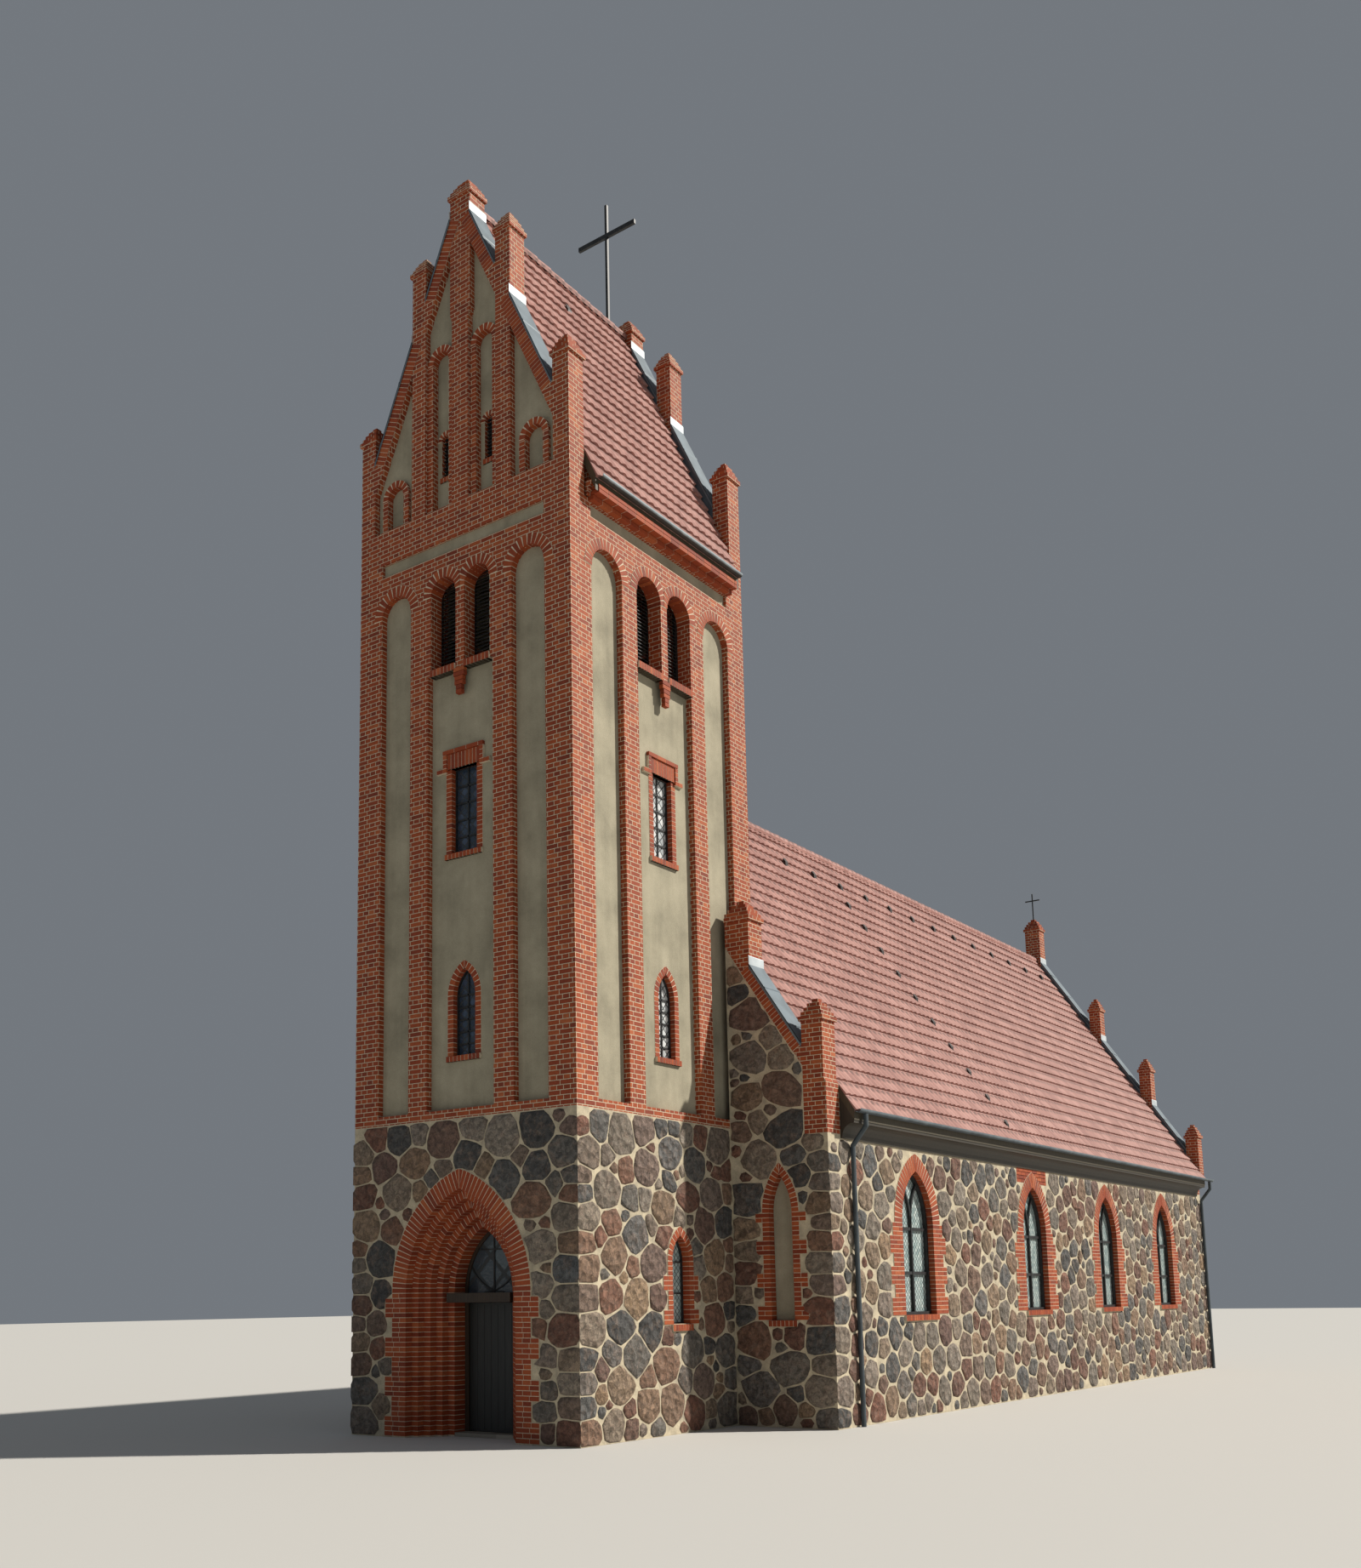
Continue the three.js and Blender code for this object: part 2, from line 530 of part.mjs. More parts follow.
function towerRoof() {
  const start = TOWER_PARAPET_T + GAP;
  const reach = TOWER_HALF + TOWER_EAVES_OUT;
  const capClear = TOWER_PARAPET_T + CAP_OVER + GAP;
  const caps = block(TOWER_HALF - BRICK_T, reach + PAST, 0, capClear, FRIEZE_HIGH, TOWER_RIDGE);
  const slab = slope(TOWER_RIDGE, TOWER_SLOPE, reach, start, TOWER_D - start)
    .subtract(caps).subtract(mirrorTower(caps)).subtract(pinnacleRoom());
  piece('tower_roof_south', slab, 'tiles');
  piece('tower_roof_north', mirrorX(slab), 'tiles');
  const edge = TOWER_RIDGE - TOWER_SLOPE * reach;
  const channel = gutter(reach + GUTTER_R + GAP, edge, capClear + PAST, TOWER_D - capClear - PAST);
  piece('tower_gutter_south', channel, 'zinc');
  piece('tower_gutter_north', mirrorX(channel), 'zinc');
}
// Room round the pinnacle caps that lean over the roof's ends
function pinnacleRoom() {
  const room = TOWER_PINNACLES.map(({ x, w, peak }) => block(x - w / 2 - CAP_OVER - GAP, x + w / 2 + CAP_OVER + GAP,
    0, TOWER_PARAPET_T + CAP_OVER + GAP, peak - CAP_HEIGHT - GAP, peak));
  const all = union(room);
  return all.add(mirrorTower(all));
}

// Latin cross of flat bars that stands on a point, its arm along X
function cross({ height, arm, bar, armAt, armHigh }, y, foot) {
  return block(-bar / 2, bar / 2, y - bar / 2, y + bar / 2, foot, foot + height)
    .add(block(-arm / 2, arm / 2, y - bar / 2, y + bar / 2, foot + armAt, foot + armAt + armHigh));
}

function naveWalls() {
  const inner = NAVE_HALF - NAVE_WALL_T;
  const under = NAVE_RIDGE - drop(NAVE_SLOPE) - GAP;
  const room = underRoof(under, NAVE_SLOPE, NAVE_HALF + EAVES_OUT, NAVE_FRONT - PAST, NAVE_END + PAST);

  const parapetTop = NAVE_RIDGE + WEST_PARAPET_RISE;
  const start = TOWER_HALF + GAP;
  const line = (x) => parapetTop - NAVE_SLOPE * x;
  let west = prism(polygon([[start, 0], [NAVE_HALF, 0], [NAVE_HALF, line(NAVE_HALF)], [start, line(start)]]),
    'west', NAVE_FRONT, NAVE_FRONT + WEST_PARAPET_T)
    .add(block(start, NAVE_HALF, NAVE_FRONT + PAST, NAVE_FRONT + NAVE_WALL_T, 0, NAVE_RIDGE).intersect(room));
  for (const pin of NAVE_WEST_PINNACLES) {
    west = west.add(pinnacle(pin, NAVE_FRONT, NAVE_FRONT + WEST_PARAPET_T, line(pin.x + pin.w) - 400));
  }
  west = west.subtract(prism(pointed(WEST_NICHE.x, WEST_NICHE), 'west', NAVE_FRONT - PAST, NAVE_FRONT + WEST_NICHE.depth))
    .subtract(block(0, start, 0, TOWER_D, 0, NAVE_RIDGE));
  piece('nave_west_wall_south', west, 'fieldstone');
  piece('nave_west_wall_north', mirrorX(west), 'fieldstone');

  let side = block(inner, NAVE_HALF, NAVE_FRONT + NAVE_WALL_T + GAP, NAVE_END - NAVE_WALL_T - GAP, 0, NAVE_RIDGE)
    .intersect(room);
  const pane = { ...NAVE_WINDOW, half: NAVE_WINDOW.half - GAP, foot: NAVE_WINDOW.foot + GAP, apex: NAVE_WINDOW.apex - GAP };
  const face = NAVE_HALF - NAVE_PANE_DEPTH;
  NAVE_WINDOW_Y.forEach((y, index) => {
    side = side.subtract(prism(pointed(y, NAVE_WINDOW), 'south', inner - PAST, NAVE_HALF + PAST));
    const glass = prism(pointed(y, pane), 'south', face - PANE_T, face);
    piece(`nave_window_south_${index + 1}`, glass, 'glass');
    piece(`nave_window_north_${index + 1}`, mirrorX(glass), 'glass');
  });
  piece('nave_south_wall', side, 'fieldstone');
  piece('nave_north_wall', mirrorX(side), 'fieldstone');

  const eastTop = NAVE_RIDGE + EAST_PARAPET_RISE;
  const edge = eastTop - NAVE_SLOPE * NAVE_HALF;
  let east = prism(polygon([[-NAVE_HALF, 0], [NAVE_HALF, 0], [NAVE_HALF, edge], [0, eastTop], [-NAVE_HALF, edge]]),
    'west', NAVE_END - EAST_PARAPET_T, NAVE_END)
    .add(block(-NAVE_HALF, NAVE_HALF, NAVE_END - NAVE_WALL_T, NAVE_END - PAST, 0, NAVE_RIDGE).intersect(room));
  for (const pin of NAVE_EAST_PINNACLES) {
    const shaft = pinnacle(pin, NAVE_END - EAST_PARAPET_T, NAVE_END, eastTop - NAVE_SLOPE * (pin.x + pin.w / 2) - 250);
    east = east.add(shaft).add(mirrorX(shaft));
  }
  for (const x of [-EAST_NICHE.x, EAST_NICHE.x]) {
    east = east.subtract(prism(pointed(x, EAST_NICHE), 'west', NAVE_END - EAST_NICHE.depth, NAVE_END + PAST));
  }
  piece('nave_east_wall', east, 'fieldstone');
}

function naveRoof() {
  const start = NAVE_FRONT + WEST_PARAPET_T + GAP;
  const end = NAVE_END - EAST_PARAPET_T - GAP;
  const reach = NAVE_HALF + EAVES_OUT;
  const tower = block(-1, TOWER_HALF + GAP, 0, TOWER_D + GAP, 0, NAVE_RIDGE + PAST);
  const caps = union([
    ...NAVE_WEST_PINNACLES.map((pin) => capRoom(pin, NAVE_FRONT, NAVE_FRONT + WEST_PARAPET_T)),
    ...NAVE_EAST_PINNACLES.map((pin) => capRoom(pin, NAVE_END - EAST_PARAPET_T, NAVE_END)),
  ]);
  const slab = slope(NAVE_RIDGE, NAVE_SLOPE, reach, start, end).subtract(tower).subtract(caps);
  piece('nave_roof_south', slab, 'tiles');
  piece('nave_roof_north', mirrorX(slab), 'tiles');

  // Coved timber box under the eaves
  const under = (x) => NAVE_RIDGE - drop(NAVE_SLOPE) - NAVE_SLOPE * x - GAP;
  const near = NAVE_HALF + GAP;
  const far = reach - 10;
  const coveTop = under(far) - 60;
  const shape = new THREE.Shape();
  shape.moveTo(near, NAVE_WALL_TOP);
  shape.lineTo(near + EAVES_BOX_FOOT, NAVE_WALL_TOP);
  shape.quadraticCurveTo(near + EAVES_BOX_FOOT + 20, coveTop, far, coveTop);
  shape.lineTo(far, under(far));
  shape.lineTo(near, under(near));
  shape.closePath();
  const cove = prism(shape, 'west', start, end, 5).subtract(caps);
  piece('nave_eaves_box_south', cove, 'timber');
  piece('nave_eaves_box_north', mirrorX(cove), 'timber');

  const level = NAVE_RIDGE - NAVE_SLOPE * reach;
  const gutterX = reach + GUTTER_R + GAP;
  const run = union([gutter(gutterX, level, start, NAVE_END + PAST), ...PIPE_Y.map((y) => downpipe(gutterX, level, y))]);
  piece('nave_rainwater_south', run, 'zinc');
  piece('nave_rainwater_north', mirrorX(run), 'zinc');
}
function capRoom({ x, w, peak }, y0, y1) {
  const half = w / 2 + CAP_OVER + GAP;
  return block(x - half, x + half, y0 - CAP_OVER - GAP, y1 + CAP_OVER + GAP, peak - CAP_HEIGHT - GAP, peak);
}
// Downpipe with a swan neck from the gutter's bottom back to the wall and down to the ground
function downpipe(gutterX, level, y) {
  const wallX = NAVE_HALF + PIPE_OFF;
  const top = level - GUTTER_R + GUTTER_T / 2;
  const knots = [[gutterX, top], [gutterX, top - 200], [wallX, top - 520], [wallX, 0]]
    .map(([x, z]) => new THREE.Vector3(x, y, z));
  const runs = knots.slice(1).map((end, i) => {
    const along = end.clone().sub(knots[i]);
    const tube = new THREE.CylinderGeometry(PIPE_R, PIPE_R, along.length(), 10);
    tube.applyQuaternion(new THREE.Quaternion().setFromUnitVectors(new THREE.Vector3(0, 1, 0), along.clone().normalize()));
    tube.translate(...knots[i].clone().add(end).multiplyScalar(0.5).toArray());
    return solid(tube);
  });
  const elbows = knots.slice(1, -1).map((knot) => {
    const ball = new THREE.SphereGeometry(PIPE_R, 10, 6);
    ball.translate(...knot.toArray());
    return solid(ball);
  });
  return union([...runs, ...elbows]);
}

// Floor of flags through the tower hall, the passage and the nave
function floor() {
  const hall = TOWER_HALF - BASE_T - GAP;
  const nave = NAVE_HALF - NAVE_WALL_T - GAP;
  const door = PORTAL.half - PORTAL_RING - ORDER_IN * ORDERS - GAP;
  return union([
    block(-door, door, ORDER_DEEP * ORDERS, BASE_T + PAST, 0, FLOOR_TOP),
    block(-hall, hall, BASE_T + GAP, TOWER_D - BASE_T - GAP, 0, FLOOR_TOP),
    block(-PASSAGE.half + GAP, PASSAGE.half - GAP, TOWER_D - BASE_T - PAST, TOWER_D + PAST, 0, FLOOR_TOP),
    block(-nave, nave, TOWER_D + GAP, NAVE_END - NAVE_WALL_T - GAP, 0, FLOOR_TOP),
  ]);
}

towerBase();
portal();
towerWalls();
towerRoof();
piece('tower_cross', cross(TOWER_CROSS, TOWER_CROSS.y, TOWER_RIDGE + GAP - TOWER_SLOPE * GAP), 'iron');
naveWalls();
naveRoof();
piece('nave_cross', cross(NAVE_CROSS, NAVE_END - EAST_PARAPET_T / 2, NAVE_EAST_PINNACLES[0].peak + GAP), 'iron');
piece('floor', floor(), 'flagstone');

// The origin is on the ground in the middle of the plan
const bounds = new THREE.Box3().setFromObject(church);
church.position.y = -(bounds.min.y + bounds.max.y) / 2;

export default church;
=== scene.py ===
# %% [markdown]
# # A village church in fieldstone and brick
#
# This script dresses a plain model of a small church. The walls, roofs and openings come in
# as solids of the right shape. What they lack is the finish: split boulders in cream mortar,
# brick courses, clay roof tiles, sheet-metal copings, leaded windows and a boarded door.
# Each step below first says what the thing is on the real building and how it could be made.

import json
import math

import bpy
import numpy as np
from mathutils import Matrix, Vector

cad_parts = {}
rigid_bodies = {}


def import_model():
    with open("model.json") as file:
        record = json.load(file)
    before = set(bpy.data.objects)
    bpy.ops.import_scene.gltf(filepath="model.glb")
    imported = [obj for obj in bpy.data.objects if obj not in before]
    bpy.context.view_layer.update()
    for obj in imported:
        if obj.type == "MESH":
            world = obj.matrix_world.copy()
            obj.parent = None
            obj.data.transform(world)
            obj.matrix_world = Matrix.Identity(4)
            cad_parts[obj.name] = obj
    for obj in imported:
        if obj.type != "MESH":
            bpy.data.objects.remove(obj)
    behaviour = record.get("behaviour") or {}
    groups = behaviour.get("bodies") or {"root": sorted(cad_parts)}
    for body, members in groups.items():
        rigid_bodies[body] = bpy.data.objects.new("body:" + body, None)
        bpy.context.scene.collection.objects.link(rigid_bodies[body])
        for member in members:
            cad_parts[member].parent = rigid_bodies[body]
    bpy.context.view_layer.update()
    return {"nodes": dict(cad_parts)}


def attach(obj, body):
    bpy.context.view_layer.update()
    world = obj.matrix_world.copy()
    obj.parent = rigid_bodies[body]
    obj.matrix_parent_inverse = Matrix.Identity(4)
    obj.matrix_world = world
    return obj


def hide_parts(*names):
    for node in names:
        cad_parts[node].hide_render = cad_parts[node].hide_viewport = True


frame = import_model()
nodes = {name: frame["nodes"][name] for name in sorted(frame["nodes"])}

# %% [markdown]
# ## Where things are
#
# All sizes are in metres. X points to the sunny side, Y runs along the nave from the tower
# to the far gable, and Z is up. The plan is centred on the origin, so the tower's front face
# is not at zero. One number carries lengths measured from that face into the scene.

# %% Main sizes
FRONT = -13.2075
TOWER_HALF, TOWER_MIDDLE, TOWER_BACK = 2.34, FRONT + 2.625, FRONT + 5.25
NAVE_HALF, NAVE_FRONT, NAVE_BACK = 4.21, FRONT + 4.33, FRONT + 26.4
# Tops of the tower's stone base, of the nave's corner stones and of its long walls
BASE_TOP, QUOIN_TOP, EAVES = 4.98, 4.6, 4.71
# Fall per metre outwards: nave roof, tower roof, and the coping of the tower's gables
NAVE_SLOPE, TOWER_SLOPE, GABLE_SLOPE = 1.545, 2.34, 2.23
COURSE = 0.077
HANDS = (("south", 1), ("north", -1))
print("tower front at", FRONT, "nave from", NAVE_FRONT, "to", NAVE_BACK)

# %% [markdown]
# ## Camera
#
# The photograph was taken from near the ground, to the right of the tower, and then cropped
# so that its optical centre is low in the picture. A shifted lens does the same: the camera
# looks only a little upwards, so the tower stands upright, and the shift raises the frame.

# %% Camera
PHOTO_W, PHOTO_H, FOCAL_PX = 1600, 1843, 1751.0
CENTRE_X, CENTRE_Y, SENSOR_MM = 700.0, 1253.2, 36.0
CAMERA_AT = (15.710, -30.6945, 2.130)
yaw, pitch, roll = (math.radians(angle) for angle in (36.657, 8.854, -0.784))
ahead = Vector((-math.sin(yaw) * math.cos(pitch), math.cos(yaw) * math.cos(pitch), math.sin(pitch)))
level = Vector((math.cos(yaw), math.sin(yaw), 0))
rise = level.cross(ahead)
right = level * math.cos(roll) + rise * math.sin(roll)
upright = rise * math.cos(roll) - level * math.sin(roll)


def new_object(name, data):
    """An object for a camera, a lamp or a mesh, linked to the scene."""
    made = bpy.data.objects.new(name, data)
    bpy.context.scene.collection.objects.link(made)
    return made


lens = bpy.data.cameras.new("photo_camera")
lens.sensor_fit = "VERTICAL"
lens.sensor_height = SENSOR_MM
lens.lens = FOCAL_PX * SENSOR_MM / PHOTO_H
lens.shift_x = (PHOTO_W / 2 - CENTRE_X) / PHOTO_H
lens.shift_y = (CENTRE_Y - PHOTO_H / 2) / PHOTO_H
lens.clip_end = 500
camera = new_object("photo_camera", lens)
camera.matrix_world = Matrix.Translation(CAMERA_AT) @ Matrix((right, upright, -ahead)).transposed().to_4x4()
bpy.context.scene.camera = camera
print("lens", round(lens.lens, 2), "mm, shift", round(lens.shift_x, 4), round(lens.shift_y, 4))

# %% [markdown]
# ## Light and floor
#
# A low sun from the right and slightly behind lights the long side, and leaves the tower's
# front in soft shade. The shadow that the nave's corner throws on the tower gave its height
# and direction. A bright even sky fills the shade. The floor is plain and pale.

# %% Light
SUN_TOWARDS = Vector((0.613, 0.495, 0.616))
sun = bpy.data.lights.new("sun", "SUN")
sun.energy = 5.0
sun.angle = math.radians(1.5)
sun.color = (1.0, 0.95, 0.87)
new_object("sun", sun).rotation_euler = SUN_TOWARDS.to_track_quat("Z", "Y").to_euler()

world = bpy.data.worlds.new("sky")
world.use_nodes = True
sky = world.node_tree.nodes["Background"]
sky.inputs["Color"].default_value = (0.82, 0.9, 1.0, 1)
sky.inputs["Strength"].default_value = 0.21
bpy.context.scene.world = world
bpy.context.scene.view_settings.view_transform = "Standard"
print("sun", sun.energy, "sky", round(sky.inputs["Strength"].default_value, 2))

# %% [markdown]
# ## One helper for shader nodes, one for colours
#
# Every finish is a small network of nodes. The helper adds a node, sets its options, and
# fills each input with a number or with a link. It hands back the node's output, so that
# steps can be written one after the other. Colours are picked as screen colours, which are
# not linear, so they are turned into linear light first.

# %% Helpers for finishes
def linear(code):
    """Screen colour as hex to linear light: the sRGB curve undone, channel by channel."""
    channels = [int(code[i:i + 2], 16) / 255 for i in (1, 3, 5)]
    return (*(c / 12.92 if c <= 0.04045 else ((c + 0.055) / 1.055) ** 2.4 for c in channels), 1.0)


def add(tree, kind, *values, **named):
    """Adds one shader node. Plain values fill its visible inputs in order. A name with a capital
    letter is an input too, with _ for a space, and any other name is a setting. A value can be a
    number or a link. The node's first visible output comes back."""
    node = tree.nodes.new("ShaderNode" + kind)
    for key in [key for key in named if key.islower()]:
        setattr(node, key, named.pop(key))
    visible = [socket for socket in node.inputs if socket.enabled]
    wanted = [(node.inputs[key.replace("_", " ")], value) for key, value in named.items()]
    for socket, value in [*zip(visible, values), *wanted]:
        if isinstance(value, bpy.types.NodeSocket):
            tree.links.new(value, socket)
        else:
            socket.default_value = value
    return next((output for output in node.outputs if output.enabled), node)


def shades(output, places, codes):
    """Fills a colour ramp with hex colours at places between nought and one."""
    ramp = output.node.color_ramp
    while len(ramp.elements) < len(codes):
        ramp.elements.new(0.5)
    for element, place, code in zip(ramp.elements, places, codes):
        element.position = place
        element.color = linear(code)
    return output


def toned(tree, colour, noise, low, high):
    """A colour scaled from low to high while a noise goes from 0.3 to 0.7."""
    tone = add(tree, "MapRange", noise, 0.3, 0.7, low, high)
    return add(tree, "VectorMath", colour, tone, operation="SCALE")


def start(name):
    """A new empty material, its node tree, and the place of each point in metres."""
    material = bpy.data.materials.new(name)
    material.use_nodes = True
    tree = material.node_tree
    tree.nodes.clear()
    return material, tree, add(tree, "TexCoord").node.outputs["Object"]


def close(material, colour, roughness, height=None, metallic=0.0):
    """Ends a material: its surface, with height in metres as bump."""
    tree = material.node_tree
    surface = add(tree, "BsdfPrincipled", Base_Color=colour, Roughness=roughness, Metallic=metallic)
    if height is not None:
        bump = add(tree, "Bump", Height=height, Distance=1.0, Strength=1.0)
        tree.links.new(bump, surface.node.inputs["Normal"])
    add(tree, "OutputMaterial", Surface=surface)
    return material


def clouded(name, codes, scale, detail, roughness, relief=None, metallic=0.0, places=(0.3, 0.7)):
    """A finish that drifts between two colours. Scale counts the clouds per metre along X, Y and
    Z, so a low number draws them out into grain. Two values of roughness go with the colours."""
    material, tree, here = start(name)
    stretched = add(tree, "Mapping", here, Scale=scale)
    cloud = add(tree, "TexNoise", stretched, Scale=1.0, Detail=detail)
    tone = shades(add(tree, "ValToRGB", cloud), places, codes)
    if isinstance(roughness, tuple):
        roughness = add(tree, "MapRange", cloud, *places, *roughness)
    height = add(tree, "Math", cloud, relief, operation="MULTIPLY") if relief else None
    return close(material, tone, roughness, height, metallic)


print("helpers ready")

# %% [markdown]
# ## Coordinates that lie on the walls
#
# All walls are square to the axes, so X plus Y runs along any of them without a jump, and it
# even turns the corners, as a real bond does. Z is the height. Level faces, such as sills and
# the tops of copings, use X and Y instead. With these two numbers, flat patterns such as
# brick courses need no unwrapping.

# %% Wall coordinates
def wall_place(tree):
    """Object coordinates x, y and z, the normal's nx and ny, and the pair (along, up) on any wall."""
    here = add(tree, "TexCoord").node.outputs
    x, y, z = add(tree, "SeparateXYZ", here["Object"]).node.outputs[:3]
    nx, ny, nz = add(tree, "SeparateXYZ", here["Normal"]).node.outputs[:3]
    steep = add(tree, "Math", add(tree, "Math", nz, operation="ABSOLUTE"), 0.7, operation="LESS_THAN")
    along = add(tree, "Math", y, steep, x, operation="MULTIPLY_ADD")
    flat = add(tree, "CombineXYZ", along, add(tree, "Mix", steep, y, z))
    return {"x": x, "y": y, "z": z, "nx": nx, "ny": ny, "flat": flat}


def depth_in(tree, place, half, front, back):
    """Depth behind the nearest outer face of a rectangular plan, and one where a face looks out."""
    along = add(tree, "Math", place["y"], (front + back) / 2, operation="SUBTRACT")
    x, y, nx, ny = (add(tree, "Math", value, operation="ABSOLUTE")
                    for value in (place["x"], along, place["nx"], place["ny"]))
    wide = add(tree, "Math", half, x, operation="SUBTRACT")
    long = add(tree, "Math", (back - front) / 2, y, operation="SUBTRACT")
    depth = add(tree, "Math", wide, long, operation="MINIMUM")
    facing = add(tree, "Mix", add(tree, "Math", wide, long, operation="LESS_THAN"), ny, nx)
    return depth, add(tree, "Math", facing, 0.5, operation="GREATER_THAN")


print("wall coordinates ready")

# %% [markdown]
# ## Lime mortar between the fieldstones
#
# The lower walls are glacial boulders, split and laid in wide joints of cream lime mortar. The
# stones will be real shapes, added further down. The wall behind them only has to look like
# mortar: sandy, cloudy, and a little darker where rain has washed it.

# %% Mortar surface
def lime_mortar(tree, here):
    """Lime and sand pressed in with a trowel: matt, sandy, with clouds a hand wide. A surface is
    a colour, a roughness and a height in metres."""
    cloud = add(tree, "TexNoise", here, Scale=5.0, Detail=6.0, Roughness=0.6)
    sand = add(tree, "TexNoise", here, Scale=60.0, Detail=3.0)
    base = shades(add(tree, "ValToRGB", cloud), (0.3, 0.5, 0.7), ("#9c9280", "#b9ad94", "#cdc0a4"))
    trowel = add(tree, "Math", cloud, 0.02, operation="MULTIPLY")
    height = add(tree, "Math", sand, 0.004, trowel, operation="MULTIPLY_ADD")
    return toned(tree, base, sand, 0.9, 1.1), 0.95, height


print("mortar ready")

# %% [markdown]
# ## Brick, plaster and the walls that mix them
#
# The tower's shaft and all corners, arches and pinnacles are hard orange-red bricks, laid in
# alternate rows of stretchers and headers with pale joints. One course is 77 mm high. Between
# the brick piers lie sunken fields of rough beige plaster. Their depth behind the wall's face
# is known, so the depth itself tells the material where plaster begins.

# %% Brick and plaster surfaces
BRICK_PLACES = (0.0, 0.12, 0.5, 0.88, 1.0)
BRICK_CODES = ("#792e12", "#883614", "#943e17", "#9e471b", "#a9572c")
BLACK, GREY, WHITE = (0, 0, 0, 1), (0.5, 0.5, 0.5, 1), (1, 1, 1, 1)


def brickwork(tree, flat, here):
    """Pressed clay burnt hard, 250 mm long: matt, each brick its own red, with pale sunk joints."""
    bond = add(tree, "TexBrick", flat, Color1=BLACK, Color2=WHITE, Mortar=GREY, Scale=1.0,
               Mortar_Size=0.006, Mortar_Smooth=0.1, Bias=0.0, Brick_Width=0.26, Row_Height=COURSE,
               offset=0.5, offset_frequency=2, squash=0.5, squash_frequency=2)
    joint = bond.node.outputs["Fac"]
    fired = shades(add(tree, "ValToRGB", bond), BRICK_PLACES, BRICK_CODES)
    cloud = add(tree, "TexNoise", here, Scale=22.0, Detail=5.0, Roughness=0.7)
    pale = shades(add(tree, "ValToRGB", cloud), (0.3, 0.7), ("#b9aa90", "#d8cab0"))
    colour = add(tree, "Mix", joint, toned(tree, fired, cloud, 0.8, 1.16), pale, data_type="RGBA")
    sunk = add(tree, "Math", joint, -0.004, operation="MULTIPLY")
    height = add(tree, "Math", cloud, 0.003, sunk, operation="MULTIPLY_ADD")
    return colour, add(tree, "Mix", joint, 0.75, 0.95), height


def plaster(tree, here):
    """Lime plaster thrown on rough: beige, gritty, with faint clouds and upright streaks of rain."""
    cloud = add(tree, "TexNoise", here, Scale=1.3, Detail=8.0, Roughness=0.62)
    grit = add(tree, "TexNoise", here, Scale=60.0, Detail=3.0)
    drawn = add(tree, "Mapping", here, Scale=(6.0, 6.0, 0.5))
    streak = add(tree, "TexNoise", drawn, Scale=1.0, Detail=4.0)
    both = add(tree, "Mix", 0.25, cloud, streak)
    base = shades(add(tree, "ValToRGB", both), (0.35, 0.5, 0.65), ("#88826f", "#9c9580", "#aaa28c"))
    height = add(tree, "Math", grit, 0.004, operation="MULTIPLY")
    return toned(tree, base, grit, 0.93, 1.07), 0.95, height


def overlay(tree, factor, under, over):
    """One surface laid over another where the factor is one."""
    return [add(tree, "Mix", factor, *pair, data_type=kind)
            for kind, *pair in zip(("RGBA", "FLOAT", "FLOAT"), under, over)]


print("bricks of 250 mm, courses of", COURSE * 1000, "mm")

# %% Wall materials
# Depth where the inside begins, and where the brick shoulders beside the nave's gable begin
TOWER_INNER, NAVE_INNER = 0.5, 0.885
SHOULDER_X, SHOULDER_Z = 3.785, 4.78


def plastered(tree, depth, square, inner, steps):
    """One where plaster lies: inside the building, and on outer faces sunk by one of the steps."""
    mask = add(tree, "Math", depth, inner, operation="GREATER_THAN")
    for step in steps:
        level = add(tree, "Math", depth, step, 0.004, operation="COMPARE")
        field = add(tree, "Math", level, square, operation="MULTIPLY")
        mask = add(tree, "Math", mask, field, operation="MAXIMUM")
    return mask


def tower_wall():
    """Bricks, with plaster inside and in fields sunk by 120 or 190 mm, and by 60 mm below the gables."""
    material, tree, here = start("facing brick and rough-cast plaster")
    place = wall_place(tree)
    depth, square = depth_in(tree, place, TOWER_HALF, FRONT, TOWER_BACK)
    below = add(tree, "Math", place["z"], 15.3, operation="LESS_THAN")
    frieze = add(tree, "Math", square, below, operation="MULTIPLY")
    fields = [plastered(tree, depth, square, TOWER_INNER, (0.12, 0.19)),
              plastered(tree, depth, frieze, TOWER_INNER, (0.06,))]
    mask = add(tree, "Math", *fields, operation="MAXIMUM")
    bricks = brickwork(tree, place["flat"], here)
    return close(material, *overlay(tree, mask, bricks, plaster(tree, here)))


def stone_wall(name, half, front, back, niches=(), gable_line=None):
    """Mortar outside, plaster in niches and inside, and brick in the reveals. Where a gable line is
    given, all above it and the two shoulders beside it are brick too."""
    material, tree, here = start(name)
    place = wall_place(tree)
    depth, square = depth_in(tree, place, half, front, back)
    deep = add(tree, "Math", depth, 0.006, operation="GREATER_THAN")
    brick = add(tree, "Math", deep, square, operation="SUBTRACT", use_clamp=True)
    if gable_line:
        width = add(tree, "Math", place["x"], operation="ABSOLUTE")
        fallen = add(tree, "Math", width, NAVE_SLOPE, place["z"], operation="MULTIPLY_ADD")
        above = add(tree, "Math", fallen, gable_line, operation="GREATER_THAN")
        outer = add(tree, "Math", width, SHOULDER_X, operation="GREATER_THAN")
        high = add(tree, "Math", place["z"], SHOULDER_Z, operation="GREATER_THAN")
        shoulder = add(tree, "Math", outer, high, operation="MULTIPLY")
        for part in (above, shoulder):
            brick = add(tree, "Math", brick, part, operation="MAXIMUM")
    surface = overlay(tree, brick, lime_mortar(tree, here), brickwork(tree, place["flat"], here))
    mask = plastered(tree, depth, square, NAVE_INNER, niches)
    return close(material, *overlay(tree, mask, surface, plaster(tree, here)))


def dress(material, *starts):
    """Gives one material to every solid whose name starts in one of these ways."""
    for name in nodes:
        if name.startswith(starts):
            for slot in nodes[name].material_slots:
                slot.link = "OBJECT"
                slot.material = material


